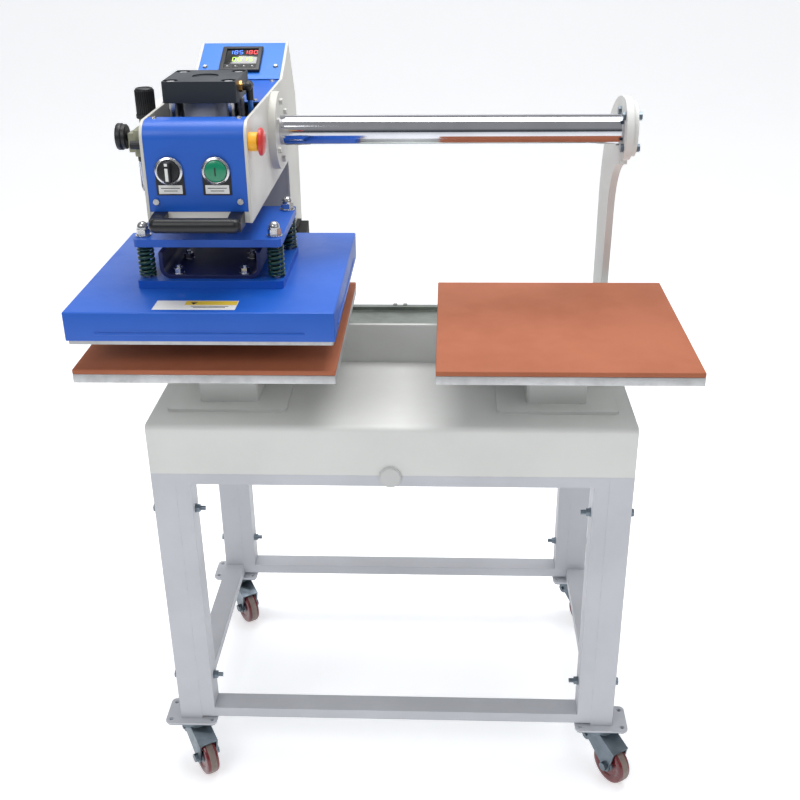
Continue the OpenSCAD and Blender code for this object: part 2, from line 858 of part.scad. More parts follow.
// U-shaped pull handle under the front cover
module front_handle() {
    hy = head_y0 - 35;
    hz = head_z0 + 6;
    half = head_w / 2 - 21;
    color("black") {
        bar_x([head_x - half, hy, hz], 11, 2 * half);
        for (s = [-1, 1]) {
            translate([head_x + s * half, hy, hz]) sphere(r = 11);
            bar_y([head_x + s * half, hy, hz], 10, 32);
            slab_x(head_x + s * half - 10, 20)
                polygon([[head_y0 + 1, head_z0 - 3], [hy, head_z0 - 3], [hy, hz + 8],
                    [head_y0 - 14, nose_z], [head_y0 + 1, nose_z]]);
        }
    }
}

// Bezels and bodies of the two push-button bases, with their legend plates
module button_bases() {
    color("lightgray")
    for (x = [selector_x, start_x])
        difference() {
            union() {
                bar_y([x, control_y - 5, control_z], bezel_r, 5);
                bar_y([x, control_y - 1, control_z], 11, 40);
                span([x - 21, control_y - 1.2, control_z - 36], [x + 21, control_y, control_z]);
            }
            bar_y([x, control_y - 6, control_z], button_r + play, 8);
            bar_y([x, control_y - 6, control_z], 7, 26);
        }
}

// Yellow collar of the emergency stop
module estop_collar() {
    color("gold")
    difference() {
        union() {
            bar_x([estop_x, estop_y, estop_z], 13.5, collar_l);
            bar_x([estop_x - 40, estop_y, estop_z], 11, 41);
        }
        bar_x([estop_x - 20, estop_y, estop_z], 7, 20 + collar_l + 1);
    }
}

// Block at the column's foot whose glide pad straddles the rail's rib
module carriage() {
    color("gray")
    difference() {
        span([head_x - in_w / 2, column_y0 + 8, rail_top + glide_gap],
            [head_x + in_w / 2, rib_y + rib_w + 5, column_z0 + 34]);
        span([head_x - in_w, rib_y - 1, rail_top - 1],
            [head_x + in_w, rib_y + rib_w + 1, rail_top + rib_h + 1.5]);
    }
}

// Rubber end stops on both sides of the column
module bumpers() {
    z = column_z0 + 109;
    color("black")
    for (s = [-1, 1])
        translate([head_x, 0, 0]) mirror([s < 0 ? 1 : 0, 0, 0]) {
            span([head_w / 2, column_y0 + 22, z], [head_w / 2 + 7, column_y0 + 80, z + 52]);
            slab_x(head_w / 2 + 6.9, bump_len - 6.9)
                polygon([[column_y0 + 28, z + 4], [column_y0 + 74, z + 4], [column_y0 + 74, z + 50],
                    [column_y0 + 28, z + 38]]);
        }
}

// ---------- press ----------

// Piston, rod and the collar that seats on the upper plate
module piston_rod() {
    piston_z0 = cap_z0 - 47;
    color("silver") {
        bar_z([head_x, press_y, plate2_z], rod_dia / 2, piston_z0 - plate2_z + 1);
        bar_z([head_x, press_y, piston_z0], cylinder_bore / 2 - bush_gap, 16);
        bar_z([head_x, press_y, plate2_z], rod_dia / 2 + 9.5, 8);
    }
}

// Plate on the piston rod, with a hole for each guide bolt
module upper_plate() {
    color("royalblue")
    difference() {
        translate([head_x, press_y, plate2_z0]) linear_extrude(upper_t) rrect(plate_w, plate_d, 8);
        at_guides() bar_z([0, 0, plate2_z0 - 1], guide_r + play, upper_t + 2);
    }
}

// Coil springs round the guide bolts, drawn as ribbed sleeves
module press_springs() {
    coils = 8;
    pitch = (spring_len - 2 * play) / coils;
    color("darkgreen")
    at_guides() translate([0, 0, plate1_z + play])
    rotate_extrude() {
        translate([9, 0]) square([2, spring_len - 2 * play]);
        for (i = [0:coils - 1]) translate([11, (i + 0.5) * pitch]) circle(pitch * 0.4);
    }
}

// Plate on top of the heater cover
module lower_plate() {
    color("royalblue")
    translate([head_x, press_y, cover_z1]) linear_extrude(lower_t) rrect(plate_w, plate_d, 8);
}

// U-shaped yoke on the lower plate
module press_yoke() {
    y0 = press_y - yoke_d / 2;
    r = 18;
    color("midnightblue") {
        translate([head_x, y0, plate1_z]) rotate([-90, 0, 0]) mirror([0, 1, 0])
        linear_extrude(yoke_d) difference() {
            union() {
                translate([-yoke_w / 2, r]) square([yoke_w, yoke_h - r]);
                translate([-yoke_w / 2 + r, 0]) square([yoke_w - 2 * r, r]);
                for (s = [-1, 1]) translate([s * (yoke_w / 2 - r), r]) circle(r);
            }
            translate([-yoke_w / 2 + yoke_t, r]) square([yoke_w - 2 * yoke_t, yoke_h]);
            translate([-yoke_w / 2 + r, yoke_t]) square([yoke_w - 2 * r, r]);
            for (s = [-1, 1]) translate([s * (yoke_w / 2 - r), r]) circle(r - yoke_t);
        }
    }
}

// Sheet cover over the heater
module heater_cover() {
    color("royalblue")
    difference() {
        translate([-station_x, platen_y, cover_z0]) linear_extrude(cover_h)
            rrect(cover_w, cover_d, 4);
        translate([-station_x, platen_y, cover_z0 - 1]) linear_extrude(cover_h + 1 - sheet)
            rrect(cover_w - 2 * sheet, cover_d - 2 * sheet, 2);
    }
}

// Cast heater block on four posts under the cover
module heater_block() {
    color("silver") {
        translate([-station_x, platen_y, heater_z0]) linear_extrude(heater_t)
            rrect(cover_w - 2 * sheet - 2, cover_d - 2 * sheet - 2, 4);
        for (sx = [-1, 1], sy = [-1, 1])
            bar_z([-station_x + sx * 90, platen_y + sy * 70, heater_z0 + heater_t - 0.1], 9,
                cover_z1 - sheet - heater_z0 - heater_t + 0.1);
    }
}

// Guide bolts from the lower plate, through the upper plate, with washers and acorn nuts, and the
// yoke's nuts and washers
module guide_bolts() {
    color("lightyellow")
    for (sx = [-1, 1], sy = [-1, 0, 1])
        translate([head_x + sx * (yoke_w / 2 - 27), press_y + sy * (yoke_d / 2 - 10),
            plate1_z + yoke_t]) {
            bar_z([0, 0, 0], 9, 1.5);
            hex_z([0, 0, 1.4], 14, 8);
            bar_z([0, 0, 9.3], 4, 4);
        }
    color("lightyellow")
    at_guides() {
        bar_z([0, 0, plate1_z], guide_r, plate2_z - plate1_z + 12);
        bar_z([0, 0, plate2_z + play], 12, 2);
        hex_z([0, 0, plate2_z + play + 2], 18, 9);
        bar_z([0, 0, plate2_z + play + 10.9], 8.5, 3);
        translate([0, 0, plate2_z + play + 13.8]) difference() {
            sphere(r = 8.5);
            translate([-10, -10, -20]) cube([20, 20, 20]);
        }
    }
}

// ---------- controls ----------

// Green push button
module start_button() {
    color("green") {
        bar_y([start_x, control_y - 8, control_z], button_r, 4.7);
        bar_y([start_x, control_y - 3, control_z], 6.7, 14);
    }
}

// Black selector knob with its grip bar
module selector_knob() {
    color("black") {
        bar_y([selector_x, control_y - 7, control_z], button_r, 5);
        bar_y([selector_x, control_y - 3, control_z], 6.7, 14);
        span([selector_x - 5, control_y - 17, control_z - 15],
            [selector_x + 5, control_y - 6, control_z + 15]);
    }
}

// Red mushroom of the emergency stop
module estop_button() {
    color("red") {
        difference() {
            union() {
                bar_x([mushroom_x, estop_y, estop_z], 20, mushroom_t - 3);
                translate([mushroom_x + mushroom_t - 3, estop_y, estop_z]) rotate([0, 90, 0])
                    cylinder(r1 = 20, r2 = 15, h = 3);
            }
            bar_x([mushroom_x - 1, estop_y, estop_z], 15, mushroom_t - 2);
        }
        bar_x([estop_x - 8, estop_y, estop_z], 6.7, mushroom_x - estop_x + mushroom_t + 6.5);
    }
}

// Pressure-setting knob on the regulator
module regulator_knob() {
    color("black")
    difference() {
        union() {
            bar_z([reg_x, reg_y, reg_z1 + bonnet_h], 15, 43);
            bar_z([reg_x, reg_y, reg_z1 + bonnet_h], 16, 6);
            translate([reg_x, reg_y, reg_z1 + bonnet_h + 43]) cylinder(r1 = 15, r2 = 13, h = 2);
        }
        bar_z([reg_x, reg_y, reg_z1], spindle_r + bush_gap, bonnet_h + 36);
    }
}

// ---------- casters ----------

axle_z = wheel_dia / 2;
fork_in = wheel_w + 4;
fork_t = 3;
fork_out = fork_in + 2 * fork_t;
fork_top = race_z - play;
// Lower end of the sloping web that joins the two cheeks over the wheel
web_x = trail + 20;
web_z = wheel_dia - 1;

// Frame of one caster: swivel axis at the origin, wheel towards +X
module at_caster(s, e) {
    translate([s * leg_x, table_y + e * leg_y, 0]) rotate([0, 0, swivel_deg]) children();
}

// Cheek of a fork, drawn in X and Z
module fork_side() {
    polygon([[-24, fork_top - 1], [22, fork_top - 1], [web_x, web_z + 2], [trail + 17, web_z - 14],
        [trail + 11, axle_z], [trail - 11, axle_z], [-4, fork_top - 33], [-24, fork_top - 19]]);
    translate([trail, axle_z]) circle(12);
    translate([-15, fork_top - 26]) circle(10);
}

module fork(s, e) {
    color("lightsteelblue")
    at_caster(s, e) {
        difference() {
            union() {
                for (side = [-1, 1])
                    translate([0, side * (fork_out / 2 - fork_t / 2) + fork_t / 2, 0])
                        rotate([90, 0, 0]) linear_extrude(fork_t) fork_side();
                bar_z([0, 0, fork_top - 3], race_r, 3);
                translate([0, fork_out / 2, 0]) rotate([90, 0, 0]) linear_extrude(fork_out)
                    polygon([[0, fork_top - 3], [22, fork_top - 3], [web_x, web_z],
                        [web_x + 1, web_z + 2.5], [22, fork_top], [0, fork_top]]);
            }
            bar_z([0, 0, fork_top - 10], kingpin_r + 0.08, 20);
            bar_y([trail, -fork_out, axle_z], axle_dia / 2, 2 * fork_out);
        }
        bar_y([trail, -fork_out / 2 - 3, axle_z], axle_dia / 2, fork_out + 6);
        bar_y([trail, -fork_out / 2 - 6, axle_z], 8, 6);
        bar_y([trail, fork_out / 2, axle_z], 8, 6);
        bar_y([-15, fork_out / 2 - 1, fork_top - 26], 4, 4);
        bar_y([-15, -fork_out / 2 - 3, fork_top - 26], 4, 4);
    }
}

module fork_front_left() { fork(-1, -1); }
module fork_front_right() { fork(1, -1); }
module fork_rear_left() { fork(-1, 1); }
module fork_rear_right() { fork(1, 1); }

// Wheel with a rounded tread, a grooved side and a hub
module wheel(s, e) {
    r = wheel_dia / 2;
    color("darkred")
    at_caster(s, e) translate([trail, 0, axle_z]) rotate([90, 0, 0]) rotate_extrude($fn = 96)
        difference() {
            union() {
                translate([axle_dia / 2 + 0.05, -wheel_w / 2 - 1]) square([9, wheel_w + 2]);
                translate([axle_dia / 2 + 0.05, -wheel_w / 2 + 2]) square([r - 15, wheel_w - 4]);
                translate([r - 14, -wheel_w / 2]) square([9, wheel_w]);
                translate([r - 6, -wheel_w / 2 + 5]) square([6, wheel_w - 10]);
                for (side = [-1, 1]) translate([r - 5, side * (wheel_w / 2 - 5)]) circle(5);
            }
        }
}

module wheel_front_left() { wheel(-1, -1); }
module wheel_front_right() { wheel(1, -1); }
module wheel_rear_left() { wheel(-1, 1); }
module wheel_rear_right() { wheel(1, 1); }

side_frame_left();
side_frame_right();
front_frame();
rear_frame();
caster_plates();
frame_bolts();
table_body();
rear_housing();
rear_rail();
seam_plug();
lower_platens();
silicone_pads();
pedestals();
arm_left();
arm_right();
guide_tube();
cheek_left();
cheek_right();
front_cover();
base_plate();
rear_cover();
control_panel();
display_unit();
head_screws();
column_sheets();
cylinder_barrel();
cylinder_caps();
tie_rods();
brass_fitting();
black_fittings();
air_hose();
slide_bushes();
regulator_body();
filter_bowl();
pressure_gauge();
front_handle();
button_bases();
estop_collar();
carriage();
bumpers();
piston_rod();
upper_plate();
press_springs();
lower_plate();
press_yoke();
heater_cover();
heater_block();
guide_bolts();
start_button();
selector_knob();
estop_button();
regulator_knob();
fork_front_left();
fork_front_right();
fork_rear_left();
fork_rear_right();
wheel_front_left();
wheel_front_right();
wheel_rear_left();
wheel_rear_right();
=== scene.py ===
# %% [markdown]
# # A pneumatic heat press, finished in Blender
# The machine's frame, sizes and joints come packed from CAD, and they stay as they are. This notebook gives
# each part the finish and the small shapes that a CAD model leaves out: rolled edges, springs that are real
# coils, a lit display, a gauge with a needle, moulded knobs and worn paint. Each step first says what the real
# piece is and why it is made the way it is.

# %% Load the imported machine
import json
from math import atan2, cos, pi, radians, sin

import bpy
from mathutils import Matrix, Vector


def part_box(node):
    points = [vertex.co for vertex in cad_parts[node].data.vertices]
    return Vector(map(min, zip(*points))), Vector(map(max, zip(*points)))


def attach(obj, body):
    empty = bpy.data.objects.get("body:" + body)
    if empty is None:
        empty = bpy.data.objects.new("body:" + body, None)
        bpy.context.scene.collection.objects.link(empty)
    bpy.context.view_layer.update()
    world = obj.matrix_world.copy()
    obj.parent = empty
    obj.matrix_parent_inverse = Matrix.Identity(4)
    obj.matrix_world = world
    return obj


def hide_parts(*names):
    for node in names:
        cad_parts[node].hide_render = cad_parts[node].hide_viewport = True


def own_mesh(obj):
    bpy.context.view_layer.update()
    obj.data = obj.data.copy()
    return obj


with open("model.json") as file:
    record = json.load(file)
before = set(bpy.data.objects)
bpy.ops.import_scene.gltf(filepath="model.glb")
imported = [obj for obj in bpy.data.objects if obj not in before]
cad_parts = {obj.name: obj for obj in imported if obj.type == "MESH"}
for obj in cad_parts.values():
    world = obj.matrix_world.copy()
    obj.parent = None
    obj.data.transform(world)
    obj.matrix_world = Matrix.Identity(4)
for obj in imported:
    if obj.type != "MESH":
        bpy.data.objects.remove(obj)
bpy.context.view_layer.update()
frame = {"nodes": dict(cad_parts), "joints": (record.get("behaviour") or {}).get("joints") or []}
nodes = frame["nodes"]
MM = 0.001

# %% [markdown]
# ## The camera
# The view is a standing person's, from the front and a little to the right, looking down at about 25 degrees.
# Three turns set it: a turn about the vertical, a tilt from straight down, and a small roll about the lens.

# %% Camera
CAMERA_AT = (0.0905, -1.7836, 1.5194)
CAMERA_TURN = radians(2.68)
CAMERA_TILT = radians(90 - 25.55)
CAMERA_ROLL = radians(-0.776)
LENS = 48.8

lens_data = bpy.data.cameras.new("camera")
lens_data.lens = LENS
lens_data.sensor_width = 36.0
camera = bpy.data.objects.new("camera", lens_data)
bpy.context.scene.collection.objects.link(camera)
camera.matrix_world = (Matrix.Translation(CAMERA_AT) @ Matrix.Rotation(CAMERA_TURN, 4, "Z")
                       @ Matrix.Rotation(CAMERA_TILT, 4, "X") @ Matrix.Rotation(CAMERA_ROLL, 4, "Z"))
bpy.context.scene.camera = camera
bpy.context.scene.view_settings.view_transform = "Standard"
print("camera at", [round(v, 3) for v in camera.location])

# %% [markdown]
# ## Hands and tools
# A few helpers stand in for what a modeller does again and again: pick one object, add a primitive, select
# faces by where they are, and set the finished piece on its body. Sizes are given in millimetres, as on a
# drawing, and turned into metres when a mesh is made.

# %% Selecting and settling
def only(piece):
    """Leaves just one object selected and active."""
    bpy.ops.object.select_all(action="DESELECT")
    piece.select_set(True)
    bpy.context.view_layer.objects.active = piece


def settle(piece):
    """Moves the object's place, turn and scale into its mesh."""
    only(piece)
    bpy.ops.object.transform_apply(location=True, rotation=True, scale=True)
    return piece


def pick(piece, test, kind="FACE"):
    """Selects, in edit mode, the faces or edges or points that pass a test."""
    bpy.ops.object.mode_set(mode="OBJECT")
    mesh = piece.data
    items = {"FACE": mesh.polygons, "EDGE": mesh.edges, "VERT": mesh.vertices}[kind]
    for group in (mesh.polygons, mesh.edges, mesh.vertices):
        group.foreach_set("select", [False] * len(group))
    for item in items:
        item.select = bool(test(item))
    bpy.ops.object.mode_set(mode="EDIT")
    bpy.ops.mesh.select_mode(type=kind)


def middle(node):
    """The centre of a CAD node's box."""
    low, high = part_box(node)
    return (low + high) / 2


def corners(node):
    """A CAD node's lowest and highest corners, in mm."""
    return [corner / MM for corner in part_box(node)]


def joint(name):
    """One of the machine's joints, by name."""
    return next(entry for entry in frame["joints"] if entry["name"] == name)


# %% Adding primitives
def block(low, high, radius=1.0, segments=3):
    """A block with rolled edges, between two corners in mm."""
    low, high = Vector(low) * MM, Vector(high) * MM
    bpy.ops.mesh.primitive_cube_add(size=1, location=(low + high) / 2, scale=high - low)
    piece = settle(bpy.context.object)
    bpy.ops.object.mode_set(mode="EDIT")
    bpy.ops.mesh.select_all(action="SELECT")
    bpy.ops.mesh.bevel(offset=radius * MM, segments=segments, affect="EDGES")
    bpy.ops.object.mode_set(mode="OBJECT")
    return piece


AXES = {"X": Matrix.Rotation(pi / 2, 4, "Y"), "-X": Matrix.Rotation(-pi / 2, 4, "Y"),
        "Y": Matrix.Rotation(-pi / 2, 4, "X"), "-Y": Matrix.Rotation(pi / 2, 4, "X"),
        "Z": Matrix.Identity(4), "-Z": Matrix.Rotation(pi, 4, "X")}


def turned(profile, at=(0, 0, 0), axis="Z", sides=48):
    """A lathe: one point is drawn out along (radius, height) in mm, then spun once round the axis."""
    bpy.ops.mesh.primitive_plane_add(size=MM)
    piece = bpy.context.object
    bpy.ops.object.mode_set(mode="EDIT")
    bpy.ops.mesh.select_mode(type="VERT")
    bpy.ops.mesh.select_all(action="SELECT")
    bpy.ops.mesh.merge(type="CENTER")
    bpy.ops.mesh.select_all(action="SELECT")
    radius, height = profile[0]
    bpy.ops.transform.translate(value=(radius * MM, 0, height * MM))
    for next_radius, next_height in profile[1:]:
        step = ((next_radius - radius) * MM, 0, (next_height - height) * MM)
        bpy.ops.mesh.extrude_region_move(TRANSFORM_OT_translate={"value": step})
        radius, height = next_radius, next_height
    bpy.ops.mesh.select_all(action="SELECT")
    bpy.ops.mesh.spin(steps=sides, angle=2 * pi, center=(0, 0, 0), axis=(0, 0, 1))
    bpy.ops.mesh.select_all(action="SELECT")
    bpy.ops.mesh.remove_doubles(threshold=1e-6)
    bpy.ops.mesh.normals_make_consistent(inside=False)
    bpy.ops.object.mode_set(mode="OBJECT")
    piece.matrix_world = Matrix.Translation(Vector(at) * MM) @ AXES[axis]
    return settle(piece)


def joined(pieces):
    """Several meshes as one."""
    bpy.ops.object.select_all(action="DESELECT")
    for piece in pieces:
        piece.select_set(True)
    bpy.context.view_layer.objects.active = pieces[0]
    if len(pieces) > 1:
        bpy.ops.object.join()
    return bpy.context.object


# %% Setting a piece on its body
def place(piece, name, body, finish, replaces=(), angle=35):
    """Names a piece, smooths it, gives it a finish and lets it ride on a body."""
    settle(piece)
    piece.name = name
    bpy.ops.object.shade_smooth_by_angle(angle=radians(angle))
    if finish is not None:
        piece.data.materials.clear()
        piece.data.materials.append(finish)
    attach(piece, body)
    if replaces:
        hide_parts(*replaces)
    print(name, len(piece.data.polygons), "faces")
    return piece


def dress(finish, *names):
    """Gives CAD nodes a finish in their own material slots."""
    for name in names:
        for material_slot in nodes[name].material_slots:
            material_slot.material = finish


# %% [markdown]
# ## Effects that several finishes share
# Powder coat has a fine orange-peel skin, machined metal has brush lines, and everything on a workshop floor
# gathers faint dust and gets rubbed at its edges. Each effect is one node group with named inputs, so a finish
# only states its own values. The groups read Object coordinates, which lie in the machine's own frame.

# %% A group maker
def group(name, inputs, outputs):
    """An empty shader node group with its sockets, and handles on its two ends."""
    tree = bpy.data.node_groups.new(name, "ShaderNodeTree")
    for socket, kind, value in inputs:
        made = tree.interface.new_socket(socket, in_out="INPUT", socket_type="NodeSocket" + kind)
        made.default_value = value
    for socket, kind in outputs:
        tree.interface.new_socket(socket, in_out="OUTPUT", socket_type="NodeSocket" + kind)
    return tree, tree.nodes.new("NodeGroupInput"), tree.nodes.new("NodeGroupOutput")


def wire(tree, start, end):
    """Joins an output socket to an input socket."""
    tree.links.new(start, end)


def math_node(tree, operation, a, b=None):
    """A Math node with sockets or numbers for its inputs."""
    node = tree.nodes.new("ShaderNodeMath")
    node.operation = operation
    for index, value in enumerate((a, b)):
        if isinstance(value, (int, float)):
            node.inputs[index].default_value = value
        elif value is not None:
            wire(tree, value, node.inputs[index])
    return node.outputs[0]


def noise(tree, vector, scale, detail=3.0, roughness=0.5):
    """A Noise Texture's factor over a vector."""
    node = tree.nodes.new("ShaderNodeTexNoise")
    node.inputs["Detail"].default_value = detail
    node.inputs["Roughness"].default_value = roughness
    wire(tree, vector, node.inputs["Vector"])
    if isinstance(scale, (int, float)):
        node.inputs["Scale"].default_value = scale
    else:
        wire(tree, scale, node.inputs["Scale"])
    return node.outputs[0]


def ramp(tree, value, start, end, low=0.0, high=1.0):
    """Stretches a range of values smoothly onto another."""
    node = tree.nodes.new("ShaderNodeMapRange")
    node.interpolation_type = "SMOOTHSTEP"
    node.inputs["From Min"].default_value = start
    node.inputs["From Max"].default_value = end
    node.inputs["To Min"].default_value = low
    node.inputs["To Max"].default_value = high
    wire(tree, value, node.inputs["Value"])
    return node.outputs[0]


# %% Skin: the fine relief of a coated or cast surface, over softened edges
skin, skin_in, skin_out = group("skin", [
    ("Scale", "Float", 900.0), ("Height", "Float", 0.1), ("Edge", "Float", 0.0008)], [("Normal", "Vector")])
place_node = skin.nodes.new("ShaderNodeTexCoord")
round_edge = skin.nodes.new("ShaderNodeBevel")
round_edge.samples = 6
wire(skin, skin_in.outputs["Edge"], round_edge.inputs["Radius"])
relief = skin.nodes.new("ShaderNodeBump")
relief.inputs["Distance"].default_value = 0.0006
wire(skin, noise(skin, place_node.outputs["Object"], skin_in.outputs["Scale"], 2.0), relief.inputs["Height"])
wire(skin, skin_in.outputs["Height"], relief.inputs["Strength"])
wire(skin, round_edge.outputs["Normal"], relief.inputs["Normal"])
wire(skin, relief.outputs["Normal"], skin_out.inputs["Normal"])
print("group skin:", len(skin.nodes), "nodes")

# %% Rub: where an edge is exposed and has lost a little of its coat
rub, rub_in, rub_out = group("rub", [("Width", "Float", 0.0015), ("Amount", "Float", 0.5)], [("Mask", "Float")])
place_node = rub.nodes.new("ShaderNodeTexCoord")
wide_edge = rub.nodes.new("ShaderNodeBevel")
wide_edge.samples = 6
wire(rub, rub_in.outputs["Width"], wide_edge.inputs["Radius"])
true_face = rub.nodes.new("ShaderNodeNewGeometry")
turn = rub.nodes.new("ShaderNodeVectorMath")
turn.operation = "DOT_PRODUCT"
wire(rub, wide_edge.outputs["Normal"], turn.inputs[0])
wire(rub, true_face.outputs["True Normal"], turn.inputs[1])
bend = ramp(rub, math_node(rub, "SUBTRACT", 1.0, turn.outputs["Value"]), 0.02, 0.2)
patches = ramp(rub, noise(rub, place_node.outputs["Object"], 60.0, 4.0, 0.6), 0.42, 0.62)
worn = math_node(rub, "MULTIPLY", math_node(rub, "MULTIPLY", bend, patches), rub_in.outputs["Amount"])
wire(rub, worn, rub_out.inputs["Mask"])
print("group rub:", len(rub.nodes), "nodes")

# %% Dust: slow cloudy variation, for tone and roughness
dust, dust_in, dust_out = group("dust", [("Scale", "Float", 6.0), ("Amount", "Float", 0.1)],
                                [("Tone", "Float"), ("Cloud", "Float")])
place_node = dust.nodes.new("ShaderNodeTexCoord")
slow = noise(dust, place_node.outputs["Object"], dust_in.outputs["Scale"], 5.0, 0.6)
cloud = ramp(dust, slow, 0.35, 0.7)
wire(dust, cloud, dust_out.inputs["Cloud"])
wire(dust, math_node(dust, "SUBTRACT", 1.0, math_node(dust, "MULTIPLY", cloud, dust_in.outputs["Amount"])),
     dust_out.inputs["Tone"])
print("group dust:", len(dust.nodes), "nodes")

# %% Brush: fine lines left by a belt or a lathe, stretched along one axis
brush, brush_in, brush_out = group("brush", [
    ("Stretch", "Vector", (1.0, 1.0, 1.0)), ("Scale", "Float", 400.0), ("Height", "Float", 0.1)],
    [("Lines", "Float"), ("Normal", "Vector")])
place_node = brush.nodes.new("ShaderNodeTexCoord")
stretch = brush.nodes.new("ShaderNodeVectorMath")
stretch.operation = "MULTIPLY"
wire(brush, place_node.outputs["Object"], stretch.inputs[0])
wire(brush, brush_in.outputs["Stretch"], stretch.inputs[1])
lines = noise(brush, stretch.outputs["Vector"], brush_in.outputs["Scale"], 3.0, 0.6)
groove = brush.nodes.new("ShaderNodeBump")
groove.inputs["Distance"].default_value = 0.0003
round_edge = brush.nodes.new("ShaderNodeBevel")
round_edge.samples = 6
round_edge.inputs["Radius"].default_value = 0.0005
wire(brush, round_edge.outputs["Normal"], groove.inputs["Normal"])
wire(brush, lines, groove.inputs["Height"])
wire(brush, brush_in.outputs["Height"], groove.inputs["Strength"])
wire(brush, lines, brush_out.inputs["Lines"])
wire(brush, groove.outputs["Normal"], brush_out.inputs["Normal"])
print("group brush:", len(brush.nodes), "nodes")


# %% [markdown]
# ## Building a finish
# Every finish starts from the same Principled shader. A coat is paint or moulded plastic: a colour that the
# dust group darkens a little in places, a roughness that follows it, and the skin group's relief. A metal has
# brush lines in its roughness instead. Values that are the same all over sit on the shader's own sockets.

# %% Finish makers
def linear(red, green, blue):
    """A screen colour, 0 to 255, as the linear light that shaders use."""
    def channel(value):
        value /= 255
        return value / 12.92 if value <= 0.04045 else ((value + 0.055) / 1.055) ** 2.4
    return (channel(red), channel(green), channel(blue), 1.0)


def new_finish(name):
    """A material with an empty Principled shader."""
    finish = bpy.data.materials.new(name)
    finish.use_nodes = True
    tree = finish.node_tree
    return finish, tree, tree.nodes["Principled BSDF"]


def effect(tree, source, **values):
    """Places a shared group in a material and sets its inputs."""
    node = tree.nodes.new("ShaderNodeGroup")
    node.node_tree = source
    for socket, value in values.items():
        node.inputs[socket].default_value = value
    return node


def mixed(tree, factor, first, second):
    """Mixes two colours, given as sockets or values."""
    node = tree.nodes.new("ShaderNodeMix")
    node.data_type = "RGBA"
    wire(tree, factor, node.inputs["Factor"])
    for socket, value in ((node.inputs["A"], first), (node.inputs["B"], second)):
        if isinstance(value, tuple):
            socket.default_value = value
        else:
            wire(tree, value, socket)
    return node.outputs["Result"]


def coat(name, colour, rough=0.38, peel=0.12, peel_scale=900.0, edge=0.0008, stain=0.08, bare=None,
         wear=0.0, clear=0.0, stain_scale=6.0):
    """Paint or moulded plastic, with faint dust, orange peel and rubbed edges."""
    finish, tree, shader = new_finish(name)
    cloudy = effect(tree, dust, Scale=stain_scale, Amount=1.0)
    dark = tuple(channel * (1 - stain) for channel in colour[:3]) + (1.0,)
    tone = mixed(tree, cloudy.outputs["Cloud"], colour, dark)
    if wear:
        rubbed = effect(tree, rub, Width=0.0016, Amount=wear)
        tone = mixed(tree, rubbed.outputs["Mask"], tone, bare or linear(150, 150, 152))
    wire(tree, tone, shader.inputs["Base Color"])
    wire(tree, ramp(tree, cloudy.outputs["Cloud"], 0.0, 1.0, rough, rough + 0.1), shader.inputs["Roughness"])
    surface = effect(tree, skin, Scale=peel_scale, Height=peel, Edge=edge)
    wire(tree, surface.outputs["Normal"], shader.inputs["Normal"])
    shader.inputs["Coat Weight"].default_value = clear
    shader.inputs["Coat Roughness"].default_value = 0.15
    return finish


def metal(name, colour, rough=0.3, stretch=(1.0, 1.0, 1.0), scale=400.0, height=0.08, spread=0.15, stain=0.15):
    """Bare or plated metal with brush lines and a little tarnish."""
    finish, tree, shader = new_finish(name)
    lines_node = effect(tree, brush, Stretch=stretch, Scale=scale, Height=height)
    cloudy = effect(tree, dust, Scale=14.0, Amount=1.0)
    dark = tuple(channel * (1 - stain) for channel in colour[:3]) + (1.0,)
    wire(tree, mixed(tree, cloudy.outputs["Cloud"], colour, dark), shader.inputs["Base Color"])
    wire(tree, ramp(tree, lines_node.outputs["Lines"], 0.3, 0.7, rough, rough + spread),
         shader.inputs["Roughness"])
    wire(tree, lines_node.outputs["Normal"], shader.inputs["Normal"])
    shader.inputs["Metallic"].default_value = 1.0
    return finish


def glow(name, colour, strength):
    """A lit segment or lamp."""
    finish, tree, shader = new_finish(name)
    shader.inputs["Base Color"].default_value = colour
    shader.inputs["Roughness"].default_value = 0.4
    flicker = mixed(tree, effect(tree, dust, Scale=300.0, Amount=1.0).outputs["Cloud"], colour,
                    tuple(channel * 0.8 for channel in colour[:3]) + (1.0,))
    wire(tree, flicker, shader.inputs["Emission Color"])
    shader.inputs["Emission Strength"].default_value = strength
    return finish


def clear_plastic(name, colour, rough=0.06):
    """A see-through bowl or window."""
    finish, tree, shader = new_finish(name)
    shader.inputs["Transmission Weight"].default_value = 1.0
    shader.inputs["IOR"].default_value = 1.3
    cloudy = effect(tree, dust, Scale=40.0, Amount=1.0)
    dark = tuple(channel * 0.9 for channel in colour[:3]) + (1.0,)
    wire(tree, mixed(tree, cloudy.outputs["Cloud"], colour, dark), shader.inputs["Base Color"])
    wire(tree, ramp(tree, cloudy.outputs["Cloud"], 0.0, 1.0, rough, rough + 0.06), shader.inputs["Roughness"])
    return finish
